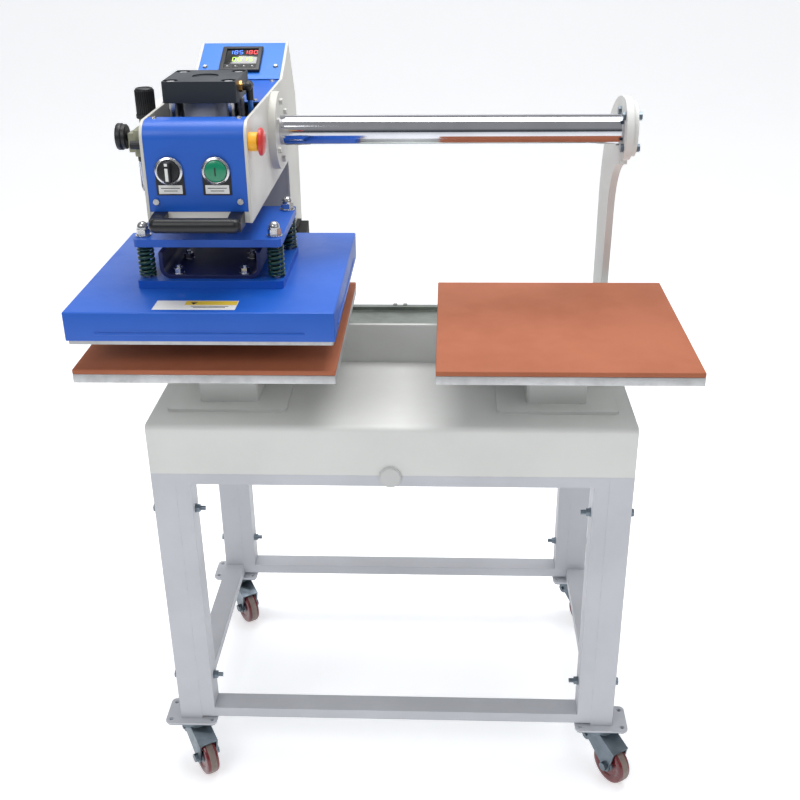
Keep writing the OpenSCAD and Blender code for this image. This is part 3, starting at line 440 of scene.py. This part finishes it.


# %% [markdown]
# ## The finishes of this machine
# White powder coat covers the stand, the table and the arms. The head's cheeks carry a warmer copy of it, made
# a little darker as painted shade for their shaded sides. The covers and press plates are a strong blue and the
# cylinder caps near black. The yoke is the same blue, given a dark navy as painted shade for the shade it sits
# in.
# Steel parts are zinc plated, and the guide tube is hard chrome, which mirrors its surroundings. The cylinder
# barrel is given a colour lighter than its metal, as painted light against the shade around it.

# %% Paints
white_coat = coat("white_coat", linear(216, 217, 214), rough=0.52, stain=0.05, wear=0.25)
frame_coat = coat("frame_coat", linear(196, 198, 204), rough=0.5, stain=0.08, wear=0.4)
# This copy of the white coat is warmer and a little darker; the darkening is painted shade for the head's
# shaded sides.
shaded_head_white = coat("shaded_head_white", linear(206, 205, 198), rough=0.38, stain=0.05, wear=0.2)
blue_coat = coat("blue_coat", linear(14, 90, 194), rough=0.42, stain=0.07, wear=0.2,
                 bare=linear(90, 145, 230), clear=0.1)
panel_coat = coat("panel_coat", linear(30, 112, 208), rough=0.46, stain=0.05, clear=0.1)
# The yoke is blue like the press plates; this dark navy is painted shade for the shade it sits in under the
# upper plate.
shaded_yoke_blue = coat("shaded_yoke_blue", linear(18, 30, 84), rough=0.44, stain=0.15, wear=0.3)
cap_coat = coat("cap_coat", linear(30, 38, 46), rough=0.46, stain=0.2, wear=0.35, bare=linear(96, 101, 106))
spring_coat = coat("spring_coat", linear(16, 66, 52), rough=0.3, stain=0.3, edge=0.0003, clear=0.3)
print("paints made")

# %% Metals
zinc = metal("zinc", linear(122, 133, 142), rough=0.3, scale=60.0, height=0.05, stain=0.35)
rail_zinc = metal("rail_zinc", linear(160, 166, 160), rough=0.36, stretch=(0.15, 1.0, 1.0), scale=300.0,
                  height=0.1, stain=0.3)
steel = metal("steel", linear(190, 190, 192), rough=0.22, height=0.05)
bright_steel = metal("bright_steel", linear(205, 206, 208), rough=0.16, height=0.03, spread=0.1)
chrome = metal("chrome", linear(206, 208, 214), rough=0.05, stretch=(0.02, 1.0, 1.0), scale=260.0, height=0.03,
               spread=0.07, stain=0.1)
# The barrel's colour is lighter than its bare metal: painted light against the shade it sits in.
brightened_barrel_metal = metal("brightened_barrel_metal", linear(206, 212, 232), rough=0.5, stretch=(1.0, 1.0, 0.03),
                     scale=500.0)
brightened_barrel_metal.node_tree.nodes["Principled BSDF"].inputs["Metallic"].default_value = 0.55
cast_metal = metal("cast_metal", linear(196, 197, 198), rough=0.42, scale=90.0, height=0.12, spread=0.2)
brass = metal("brass", linear(196, 150, 84), rough=0.3, height=0.08)
body_alloy = coat("body_alloy", linear(156, 156, 132), rough=0.4, peel=0.35, peel_scale=500.0, stain=0.2,
                  wear=0.4, bare=linear(190, 190, 176))
print("metals made")

# %% Plastics and rubbers
black_plastic = coat("black_plastic", linear(22, 23, 26), rough=0.42, peel=0.2, peel_scale=1500.0, stain=0.15)
black_gloss = coat("black_gloss", linear(18, 19, 22), rough=0.36, peel=0.1, stain=0.1)
black_rubber = coat("black_rubber", linear(26, 26, 28), rough=0.62, peel=0.4, peel_scale=700.0, stain=0.2)
grey_plastic = coat("grey_plastic", linear(200, 201, 200), rough=0.5, peel=0.15, stain=0.08)
glide_plastic = coat("glide_plastic", linear(170, 172, 174), rough=0.45, peel=0.1, stain=0.1)
silicone = coat("silicone", linear(170, 98, 66), rough=0.7, peel=0.5, peel_scale=1100.0, stain=0.12)
green_plastic = coat("green_plastic", linear(14, 138, 100), rough=0.22, peel=0.03, stain=0.1, clear=0.5)
red_plastic = coat("red_plastic", linear(206, 46, 40), rough=0.32, peel=0.06, stain=0.12, clear=0.2)
yellow_plastic = coat("yellow_plastic", linear(252, 184, 40), rough=0.35, peel=0.06, stain=0.1)
hose_plastic = coat("hose_plastic", linear(40, 110, 200), rough=0.3, peel=0.03, stain=0.1)
tyre_red = coat("tyre_red", linear(112, 22, 30), rough=0.22, peel=0.08, stain=0.3, clear=0.4)
tyre_band = coat("tyre_band", linear(140, 124, 116), rough=0.55, peel=0.3, peel_scale=600.0, stain=0.35,
                 stain_scale=30.0)
paper_white = coat("paper_white", linear(228, 228, 226), rough=0.5, peel=0.03, stain=0.05)
print_black = coat("print_black", linear(30, 30, 34), rough=0.5, peel=0.03, stain=0.05)
caution_yellow = coat("caution_yellow", linear(230, 196, 60), rough=0.45, peel=0.03, stain=0.08)
bowl_clear = clear_plastic("bowl_clear", linear(196, 202, 226))
window_dark = coat("window_dark", linear(8, 9, 12), rough=0.08, peel=0.01, stain=0.1, clear=1.0)
print("plastics made")

# %% Finishes on the CAD nodes
dress(white_coat, "table_body", "rear_housing", "pedestals", "arm_left", "arm_right")
dress(frame_coat, "side_frame_left", "side_frame_right", "front_frame", "rear_frame")
dress(shaded_head_white, "cheek_left", "cheek_right", "base_plate", "column_sheets", "slide_bushes")
dress(blue_coat, "front_cover", "rear_cover", "upper_plate", "lower_plate")
dress(panel_coat, "control_panel")
dress(shaded_yoke_blue, "press_yoke")
dress(cap_coat, "cylinder_caps")
dress(zinc, "caster_plates", "frame_bolts", "fork_front_left", "fork_front_right", "fork_rear_left",
      "fork_rear_right")
dress(rail_zinc, "rear_rail")
dress(chrome, "guide_tube", "piston_rod")
dress(brightened_barrel_metal, "cylinder_barrel")
dress(cast_metal, "heater_block")
dress(steel, "head_screws")
dress(bright_steel, "tie_rods", "guide_bolts")
dress(brass, "brass_fitting")
dress(body_alloy, "regulator_body")
dress(black_plastic, "black_fittings")
dress(black_gloss, "front_handle")
dress(black_rubber, "bumpers")
dress(hose_plastic, "air_hose")
dress(grey_plastic, "seam_plug")
dress(glide_plastic, "carriage")
print("CAD nodes dressed")

# %% [markdown]
# ## Press springs
# Four stiff springs sit between the press plates and let the hot platen level itself on the work. A real
# spring is one wire wound on a mandrel. Here a small circle, the wire's section, gets a Screw modifier, which
# sweeps it round and up at once. The end turns are then pressed closer together, as ground ends are. The
# springs shorten as the platen floats up; here they keep one shape and ride on the press body.

# %% Springs
SPRING_RADIUS = 11.2
WIRE_RADIUS = 2.25
SPRING_TURNS = 8
spring_low, spring_high = corners("press_springs")
spring_length = spring_high.z - spring_low.z
reach = SPRING_RADIUS + 2.67


def wound_spring(x, y):
    """One coil, wound upwards from the lower plate."""
    bpy.ops.mesh.primitive_circle_add(vertices=10, radius=WIRE_RADIUS * MM, rotation=(pi / 2, 0, 0),
                                      location=(SPRING_RADIUS * MM, 0, 0))
    coil = settle(bpy.context.object)
    winding = coil.modifiers.new("winding", "SCREW")
    winding.angle = 2 * pi
    winding.iterations = SPRING_TURNS
    winding.steps = winding.render_steps = 26
    winding.screw_offset = (spring_length - 2 * WIRE_RADIUS) / SPRING_TURNS * MM
    bpy.ops.object.modifier_apply(modifier="winding")
    bpy.ops.object.mode_set(mode="EDIT")
    bpy.ops.mesh.select_all(action="SELECT")
    bpy.ops.mesh.remove_doubles(threshold=1e-6)
    bpy.ops.mesh.select_all(action="DESELECT")
    bpy.ops.mesh.select_non_manifold()
    bpy.ops.mesh.fill_holes(sides=0)
    bpy.ops.mesh.select_all(action="SELECT")
    bpy.ops.mesh.normals_make_consistent(inside=False)
    bpy.ops.object.mode_set(mode="OBJECT")
    length = (spring_length - 2 * WIRE_RADIUS) * MM
    for point in coil.data.vertices:
        share = point.co.z / length
        point.co.z -= 0.055 * length * sin(2 * pi * share)
    coil.location = (x * MM, y * MM, (spring_low.z + WIRE_RADIUS) * MM)
    return settle(coil)


spring_places = [(x, y) for x in (spring_low.x + reach, spring_high.x - reach)
                 for y in (spring_low.y + reach, spring_high.y - reach)]
springs = joined([wound_spring(x, y) for x, y in spring_places])
place(springs, "coil_springs", "press", spring_coat, ["press_springs"], angle=60)
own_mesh(springs)

# %% [markdown]
# ## Heater cover
# The cover is a shallow box folded from sheet, with a pressed bead along the lower part of each side that
# stiffens it. A block gets its edges rolled, its underside is opened and given a wall, and the bead is a long
# thin bar with round ends that stands half out of the sheet. A sticker lies near its front edge.

# %% Heater cover
cover_low, cover_high = corners("heater_cover")
head_x = middle("front_cover").x / MM
SHEET = 1.6
BEAD_Z = cover_low.z + 13
PROUD = 1.6


def folded_cover():
    """The folded sheet box, open underneath."""
    shell = block(cover_low, cover_high, radius=2.6, segments=4)
    pick(shell, lambda face: face.normal.z < -0.6 or face.center.z < (cover_low.z + 2.0) * MM)
    bpy.ops.mesh.delete(type="FACE")
    bpy.ops.object.mode_set(mode="OBJECT")
    wall = shell.modifiers.new("wall", "SOLIDIFY")
    wall.thickness = SHEET * MM
    wall.offset = -1
    bpy.ops.object.modifier_apply(modifier="wall")
    return shell


def bead(low, high):
    """A pressed bead: a thin bar with a round back."""
    return block(low, high, radius=1.2, segments=4)


low, high = (cover_low.x + 45, cover_low.y + 45), (cover_high.x - 45, cover_high.y - 45)
beads = [bead((low[0], cover_low.y - PROUD, BEAD_Z - 2), (high[0], cover_low.y + 1, BEAD_Z + 2)),
         bead((low[0], cover_high.y - 1, BEAD_Z - 2), (high[0], cover_high.y + PROUD, BEAD_Z + 2)),
         bead((cover_high.x - 1, low[1], BEAD_Z - 2), (cover_high.x + PROUD, high[1], BEAD_Z + 2)),
         bead((cover_low.x - PROUD, low[1], BEAD_Z - 2), (cover_low.x + 1, high[1], BEAD_Z + 2))]
place(joined([folded_cover()] + beads), "heater_cover_shell", "hot_platen", blue_coat,
      ["heater_cover"])

# %% Sticker on the cover
STICKER = (124, 38)
sticker_x, sticker_y = head_x - 8, cover_low.y + 31
top = cover_high.z


def flat_patch(x, y, width, depth, lift=0.15, thick=0.25):
    """A thin printed patch lying on the cover."""
    return block((x - width / 2, y - depth / 2, top + lift - 0.1),
                 (x + width / 2, y + depth / 2, top + lift + thick), radius=0.08, segments=1)


place(flat_patch(sticker_x, sticker_y, *STICKER), "sticker_base", "hot_platen", paper_white)
place(flat_patch(sticker_x + 22, sticker_y + 9, 78, 17, lift=0.3), "sticker_band", "hot_platen",
      caution_yellow)
marks = [flat_patch(sticker_x + 22, sticker_y - 5 - 5 * row, 56 - 8 * row, 1.8, lift=0.3)
         for row in range(2)]
bpy.ops.mesh.primitive_cylinder_add(vertices=3, radius=6.2 * MM, depth=0.3 * MM, rotation=(0, 0, pi),
                                    location=((sticker_x - 4) * MM, (sticker_y + 8) * MM, (top + 0.55) * MM))
hot_sign = settle(bpy.context.object)
marks.append(hot_sign)
place(joined(marks), "sticker_print", "hot_platen", print_black)

# %% [markdown]
# ## Silicone pads
# Each lower platen carries a sheet of silicone foam. It is a flat slab with soft edges, a little narrower at
# its cut lip, so a block with a generous roll is enough, and its open-celled skin comes from the finish.

# %% Pads and platens
TRAVEL = joint("head_slide")["range_m"][1] / MM


def both_sides(node, radius, segments, name, body, finish):
    """Replaces a pair of plates, mirrored about the middle, with rolled-edge slabs."""
    low, high = corners(node)
    width = high.x - low.x - TRAVEL
    slabs = [block((low.x, low.y, low.z), (low.x + width, high.y, high.z), radius, segments),
             block((high.x - width, low.y, low.z), (high.x, high.y, high.z), radius, segments)]
    place(joined(slabs), name, body, finish, [node])


both_sides("silicone_pads", 1.6, 4, "pad_slabs", "stand", silicone)
both_sides("lower_platens", 1.2, 3, "platen_slabs", "stand", cast_metal)

# %% [markdown]
# ## Controls on the front
# A push button and a selector sit in 22 mm holes, each in a bright bezel over a dark legend plate. All of
# them are turned parts, so each is drawn as half a section and spun. The button's lens is slightly domed, and
# the selector has a moulded grip with a white pointer line.

# %% Bezels and legend plates
start_at = middle("start_button") / MM
selector_at = middle("selector_knob") / MM
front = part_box("front_cover")[0].y / MM
face_y = front - 0.5
BEZEL = [(16.4, 1.0), (16.4, 4.6), (17.4, 5.0), (20.2, 3.6), (21.0, 1.6), (21.0, 0.1), (16.4, 0.1), (16.4, 1.0)]


def on_face(at):
    """A point of the front cover's face, at a control's centre."""
    return (at.x, face_y, selector_at.z)


bezels = [turned(BEZEL, on_face(at), axis="-Y", sides=64) for at in (start_at, selector_at)]
bases = [turned([(0, -40), (10.8, -40), (10.8, -1), (0, -1)], on_face(at), axis="-Y")
         for at in (start_at, selector_at)]
place(joined(bezels), "control_bezels", "head", bright_steel, ["button_bases"])
place(joined(bases), "control_bases", "head", black_plastic)

plates = [block((at.x - 21, face_y - 1.2, selector_at.z - 36), (at.x + 21, face_y, selector_at.z + 2), 0.5, 2)
          for at in (start_at, selector_at)]
place(joined(plates), "legend_plates", "head", print_black)
strips = [block((at.x - 17.5, face_y - 1.6, selector_at.z - 34),
                (at.x + 17.5, face_y - 1.0, selector_at.z - 21), 0.2, 1) for at in (start_at, selector_at)]
place(joined(strips), "legend_strips", "head", paper_white)
dashes = [block((at.x - 14 + 4 * row, face_y - 1.75, selector_at.z - 26 - 4 * row),
                (at.x + 14 - 4 * row, face_y - 1.5, selector_at.z - 25 - 4 * row), 0.05, 1)
          for at in (start_at, selector_at) for row in range(2)]
place(joined(dashes), "legend_print", "head", print_black)

# %% Start button and selector
LENS_SECTION = [(0, 8.2), (6, 8.0), (11, 7.5), (14.2, 6.9), (15.7, 6.0), (16.0, 5.0), (16.0, 3.9), (6.6, 3.9),
                (6.6, -9), (0, -9)]
place(turned(LENS_SECTION, on_face(start_at), axis="-Y", sides=64), "start_lens", "start_push",
      green_plastic, ["start_button"])
start_mark = block((start_at.x - 0.9, face_y - 8.5, selector_at.z - 6),
                   (start_at.x + 0.9, face_y - 7.9, selector_at.z + 6), 0.2, 1)
place(start_mark, "start_mark", "start_push", print_black)

KNOB_SECTION = [(0, 7.4), (13.5, 7.4), (15.2, 6.8), (16.0, 5.8), (16.0, 3.9), (6.6, 3.9), (6.6, -9), (0, -9)]
grip = block((selector_at.x - 5.2, face_y - 16.6, selector_at.z - 15.6),
             (selector_at.x + 5.2, face_y - 5, selector_at.z + 15.6), 2.2, 4)
knob = turned(KNOB_SECTION, on_face(selector_at), axis="-Y", sides=64)
place(joined([knob, grip]), "selector_grip", "selector_turn", black_plastic, ["selector_knob"])
pointer = [block((selector_at.x - 2.3, face_y - 17.0, selector_at.z + low),
                 (selector_at.x + 2.3, face_y - 16.4, selector_at.z + high), 0.2, 1)
           for low, high in ((-12, 7), (10, 14))]
place(joined(pointer), "selector_pointer", "selector_turn", paper_white)

# %% [markdown]
# ## Emergency stop
# The red mushroom is pushed in and twisted out. Its head is a low dome with a rolled rim over a narrow neck,
# above a yellow collar with a raised ring. Both are turned about the same axis, which points to the right.

# %% Mushroom and collar
estop_low, estop_high = corners("estop_button")
estop_at = (estop_high.x, (estop_low.y + estop_high.y) / 2, (estop_low.z + estop_high.z) / 2)
MUSHROOM = [(0, 0), (6, -0.2), (12, -1.0), (16.5, -2.4), (19, -4.2), (20, -6), (19.8, -8.4), (18.8, -9),
            (15.2, -9), (15, -3.2), (6.6, -3.2), (6.6, -32), (0, -32)]
place(turned(MUSHROOM, estop_at, axis="X", sides=64), "stop_mushroom", "estop_push", red_plastic,
      ["estop_button"])
cheek_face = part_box("cheek_right")[1].x / MM
COLLAR = [(7.2, 14), (12.6, 14), (13.5, 13), (13.5, 0.1), (11, 0.1), (11, -38), (7.2, -38), (7.2, 14)]
place(turned(COLLAR, (cheek_face, estop_at[1], estop_at[2]), axis="X", sides=64), "stop_collar", "head",
      yellow_plastic, ["estop_collar"])

# %% [markdown]
# ## Display
# A small controller is let into the sloping panel. It has a raised black bezel, a dark window set back in it,
# three rows of lit digits and four keys. The pieces are drawn flat and then laid on the panel's slope by one
# matrix, whose first line starts at the panel's lower edge.

# %% The panel's slope
PANEL_RISE, PANEL_RUN = 48, 99
PANEL_EDGE = (146, 1213)
DISPLAY_UP = 55.0
on_slope = (Matrix.Translation(Vector((head_x, *PANEL_EDGE)) * MM)
            @ Matrix.Rotation(atan2(PANEL_RISE, PANEL_RUN), 4, "X"))


def laid(piece):
    """Lays a piece that was drawn flat on the panel's slope."""
    settle(piece)
    piece.matrix_world = on_slope
    return settle(piece)


# %% Bezel, window and keys
half = 36
frame_block = block((-half, DISPLAY_UP - half, -0.4), (half, DISPLAY_UP + half, 5.6), radius=2.0, segments=4)
pick(frame_block, lambda face: face.normal.z > 0.99 and face.area > 1e-3)
bpy.ops.mesh.inset(thickness=5.5 * MM)
bpy.ops.mesh.extrude_region_move(TRANSFORM_OT_translate={"value": (0, 0, -1.6 * MM)})
bpy.ops.object.mode_set(mode="OBJECT")
case = block((-33, DISPLAY_UP - 33, -30), (33, DISPLAY_UP + 33, 0), radius=1.5, segments=2)
place(laid(joined([frame_block, case])), "display_case", "head", black_plastic,
      ["display_unit"])
window = block((-29, DISPLAY_UP - 16, 3.6), (29, DISPLAY_UP + 29, 4.4), radius=0.3, segments=2)
place(laid(window), "display_window", "head", window_dark)
keys = [block((x - 5.5, DISPLAY_UP - 27, 3.6), (x + 5.5, DISPLAY_UP - 20, 5.2), radius=0.8, segments=3)
        for x in (-22, -7.5, 7.5, 22)]
place(laid(joined(keys)), "display_keys", "head", black_gloss)
dots = [turned([(0, 5.4), (1.1, 5.4), (1.1, 5.0), (0, 5.0)], (x, DISPLAY_UP - 23.5, 0), sides=16)
        for x in (-22, -7.5, 7.5, 22)]
place(laid(joined(dots)), "display_key_dots", "head", paper_white)

# %% Lit digits
SEGMENTS = {"top": (0, 1, True), "middle": (0, 0, True), "bottom": (0, -1, True),
            "upper_left": (-1, 0.5, False), "upper_right": (1, 0.5, False),
            "lower_left": (-1, -0.5, False), "lower_right": (1, -0.5, False)}
DIGITS = {"0": "top bottom upper_left upper_right lower_left lower_right", "1": "upper_right lower_right",
          "5": "top middle bottom upper_left lower_right", "8": " ".join(SEGMENTS)}


def digit(character, x, y, size, level=4.45):
    """One seven-segment digit, as thin bars."""
    bars = []
    for segment in DIGITS[character].split():
        across, up, flat = SEGMENTS[segment]
        long, thin = size * 0.42, size * 0.13
        centre_x, centre_y = x + across * size * 0.5, y + up * size
        half_x, half_y = (long, thin) if flat else (thin, long)
        bars.append(block((centre_x - half_x, centre_y - half_y, level),
                          (centre_x + half_x, centre_y + half_y, level + 0.2), 0.05, 1))
    return bars


def number(text, x, y, size):
    """A row of digits."""
    return [bar for index, character in enumerate(text)
            for bar in digit(character, x + index * size * 1.75, y, size)]


rows = [("blue_digits", "185", -20, 18, 5.2, glow("glow_blue", linear(60, 120, 250), 1.3)),
        ("red_digits", "180", 6, 18, 5.2, glow("glow_red", linear(235, 56, 60), 1.2)),
        ("green_digits", "0015", -12, -3, 5.6, glow("glow_green", linear(170, 225, 60), 1.2))]
for name, text, x, y, size, lamp in rows:
    place(laid(joined(number(text, x, DISPLAY_UP + y, size))), name, "head", lamp)



# %% [markdown]
# ## Caster wheels
# Each wheel is a moulded tyre on a steel hub, with a duller band where it has run on the floor. It turns about
# its axle, so the three pieces are spun round the roll joint's own axis and ride on the rolling body.

# %% Wheels
TYRE = [(13, -9.5), (22, -9.5), (24, -11), (28, -12), (33, -12), (36, -11), (37.6, -8.6), (37.9, -6.2),
        (37.9, 6.2), (37.6, 8.6), (36, 11), (33, 12), (28, 12), (24, 11), (22, 9.5), (13, 9.5), (13, -9.5)]
BAND = [(36.5, -6.4), (37.9, -6.2), (38, -5), (38, 5), (37.9, 6.2), (36.5, 6.4), (36.5, -6.4)]
HUB = [(4.1, -13), (9, -13), (10, -12.4), (11, -10.5), (13.2, -10), (13.2, 10), (11, 10.5), (10, 12.4), (9, 13),
       (4.1, 13), (4.1, -13)]
for corner in ("front_left", "front_right", "rear_left", "rear_right"):
    node = "wheel_" + corner
    axle = Vector(joint("roll_" + corner)["axis"])
    lean = Vector((0, 0, 1)).rotation_difference(axle).to_matrix().to_4x4()
    for profile, kind, finish, slot in ((TYRE, "tyre", tyre_red, "wheel_rubber"),
                                        (BAND, "tread", tyre_band, "wheel_rubber"),
                                        (HUB, "hub", zinc, "zinc")):
        ring = turned(profile, sides=72)
        ring.matrix_world = Matrix.Translation(middle(node)) @ lean
        place(ring, kind + "_" + corner, "roll_" + corner, finish, [node] if kind == "tyre" else [])

# %% [markdown]
# ## Air treatment
# The regulator sets the press's force. It has a fluted knob on top, a gauge on its side, and a clear bowl below
# with the filter inside. Flutes are one small rib, copied round the knob. The gauge's dial, marks and needle
# are drawn flat, facing up, and then turned to look outwards under a thin glass.

# %% Bowl and filter
knob_low, knob_high = corners("regulator_knob")
bowl_low, bowl_high = corners("filter_bowl")
reg_x, reg_y = (knob_low.x + knob_high.x) / 2, (knob_low.y + knob_high.y) / 2
bowl_length = bowl_high.z - bowl_low.z
BOWL = [(0, 0), (8, 0), (14.5, 2), (18.6, 6), (20, 12), (20, bowl_length), (17.6, bowl_length), (17.6, 14),
        (14, 8.5), (8, 6), (0, 5.5)]
place(turned(BOWL, (reg_x, reg_y, bowl_low.z), sides=64), "clear_bowl", "head", bowl_clear,
      ["filter_bowl"])
ELEMENT = [(0, 14), (6, 14), (6, 17), (12, 18), (12, 20), (9, 21), (9, 46), (13, 47), (13, 50), (8, 52),
           (8, 58), (0, 58)]
place(turned(ELEMENT, (reg_x, reg_y, bowl_low.z)), "filter_element", "head", paper_white)


def ribs(count, low, high, radius, centre):
    """One rolled rib, copied round an upright axis."""
    made = []
    for index in range(count):
        rib = block(low, high, radius, 2)
        around = Matrix.Rotation(2 * pi * index / count, 4, "Z")
        rib.matrix_world = Matrix.Translation(Vector(centre) * MM) @ around
        made.append(settle(rib))
    return made


guard = ribs(6, (19, -1.6, 12), (20.3, 1.6, bowl_length - 8), 0.5, (reg_x, reg_y, bowl_low.z))
collar = turned([(18.6, bowl_length - 9), (20.4, bowl_length - 9), (20.4, bowl_length - 0.5),
                 (18.6, bowl_length - 0.5), (18.6, bowl_length - 9)], (reg_x, reg_y, bowl_low.z), sides=64)
place(joined(guard + [collar]), "bowl_guard", "head", black_plastic)

# %% Knob
knob_length = knob_high.z - knob_low.z
KNOB = [(6.2, 0), (15.6, 0), (16, 0.6), (16, 5.4), (15.4, 6.2), (14, 6.6), (14, knob_length - 6),
        (13.6, knob_length - 1.4), (12, knob_length), (9.4, knob_length), (9, knob_length - 1),
        (0, knob_length - 1),
        (0, 38), (6.2, 38), (6.2, 0)]
flutes = ribs(28, (13.2, -0.9, 6.4), (15, 0.9, knob_length - 3), 0.6, (reg_x, reg_y, knob_low.z))
place(joined([turned(KNOB, (reg_x, reg_y, knob_low.z), sides=64)] + flutes), "fluted_knob", "pressure_turn",
      black_plastic, ["regulator_knob"])

# %% Gauge
gauge_low, gauge_high = corners("pressure_gauge")
gauge_at = (gauge_high.x, (gauge_low.y + gauge_high.y) / 2, (gauge_low.z + gauge_high.z) / 2)
CASE = [(0, 0), (6, 0), (6, 3.5), (17, 3.5), (19, 5), (19, 10), (20, 10.6), (20.5, 11.6), (20.5, 17.8),
        (19.8, 19), (18, 19), (17.5, 18.4), (17.3, 15.4), (0, 15.4)]
place(turned(CASE, gauge_at, axis="-X", sides=64), "gauge_case", "head", black_plastic,
      ["pressure_gauge"])


def on_gauge(piece, turn=0.0):
    """Turns a flat piece about the dial's centre and stands it up on the gauge."""
    piece.matrix_world = Matrix.Translation(Vector(gauge_at) * MM) @ AXES["-X"] @ Matrix.Rotation(turn, 4, "Z")
    return settle(piece)


place(on_gauge(turned([(0, 15.5), (17.2, 15.5), (17.2, 15.9), (0, 15.9)], sides=64)), "gauge_dial", "head",
      paper_white)
SWEEP = radians(270)
marks = []
for index in range(26):
    long = 3.6 if index % 5 == 0 else 2.0
    mark = block((15.6 - long, -0.25, 15.85), (15.6, 0.25, 16.1), 0.08, 1)
    marks.append(on_gauge(mark, SWEEP * (index / 25 - 0.5)))
needle = block((-4, -0.5, 16.3), (12.6, 0.5, 16.7), 0.15, 1)
pin = on_gauge(turned([(0, 15.9), (2.2, 15.9), (2.2, 17), (0, 17)], sides=24))
place(joined(marks + [on_gauge(needle, radians(-40)), pin]), "gauge_marks", "head",
      print_black)
place(on_gauge(turned([(0, 17.7), (17.5, 17.4), (17.5, 17.9), (0, 18.3)], sides=64)), "gauge_glass", "head",
      bowl_clear)
# %% [markdown]
# ## The studio
# A plain pale floor that curves up at the back, three large soft lights and a pale sky give the flat, bright
# light of a catalogue picture, with a gentle shadow under the machine. The floor glows a little, so that it
# stays white without flooding the machine with light. The sky darkens towards the horizon, so that chrome has
# something dark to mirror.

# %% Floor
FLOOR_SIZE, WALL_HEIGHT, SWEEP_RADIUS = 16, 6, 3
FLOOR_GLOW = 0.46
bpy.ops.mesh.primitive_plane_add(size=FLOOR_SIZE, location=(0, 0, 0))
floor = settle(bpy.context.object)


def at_back(edge):
    """Whether an edge lies along the floor's back side."""
    ends = [floor.data.vertices[index].co for index in edge.vertices]
    return all(end.y > FLOOR_SIZE / 2 - 0.1 and end.z < 0.1 for end in ends)


pick(floor, at_back, "EDGE")
bpy.ops.mesh.extrude_region_move(TRANSFORM_OT_translate={"value": (0, 0, WALL_HEIGHT)})
pick(floor, at_back, "EDGE")
bpy.ops.mesh.bevel(offset=SWEEP_RADIUS, segments=12, affect="EDGES")
bpy.ops.object.mode_set(mode="OBJECT")
bpy.ops.object.shade_smooth()
floor.name = "floor"
floor_paint = coat("floor_paint", linear(248, 249, 250), rough=0.75, peel=0.01, stain=0.01)
floor_shader = floor_paint.node_tree.nodes["Principled BSDF"]
floor_shader.inputs["Emission Color"].default_value = linear(250, 251, 253)
floor_shader.inputs["Emission Strength"].default_value = FLOOR_GLOW
floor.data.materials.append(floor_paint)
print("floor", len(floor.data.polygons), "faces")


# %% Lights
def soft_light(name, at, aim, size, power):
    """A square area light that looks at a point."""
    light = bpy.data.lights.new(name, "AREA")
    light.shape = "RECTANGLE"
    light.size, light.size_y = size
    light.energy = power
    lamp = bpy.data.objects.new(name, light)
    bpy.context.scene.collection.objects.link(lamp)
    lamp.location = at
    lamp.rotation_euler = (Vector(aim) - Vector(at)).to_track_quat("-Z", "Y").to_euler()
    return lamp


soft_light("key", (-1.6, -2.6, 3.2), (0, 0, 0.8), (1.8, 1.4), 34)
soft_light("fill", (2.6, -2.0, 2.2), (0, 0, 0.7), (1.6, 1.6), 11)
soft_light("top", (0.1, 0.3, 3.4), (0, 0, 0.8), (2.4, 1.6), 80)

SKY_STRENGTH = 0.38
world = bpy.data.worlds.new("studio")
bpy.context.scene.world = world
world.use_nodes = True
sky = world.node_tree
background = sky.nodes["Background"]
background.inputs["Strength"].default_value = SKY_STRENGTH
direction = sky.nodes.new("ShaderNodeTexCoord")
height = sky.nodes.new("ShaderNodeSeparateXYZ")
wire(sky, direction.outputs["Generated"], height.inputs[0])
wire(sky, mixed(sky, ramp(sky, height.outputs["Z"], 0.0, 0.35), linear(120, 126, 134), linear(250, 251, 253)),
     background.inputs["Color"])
print("studio lit")
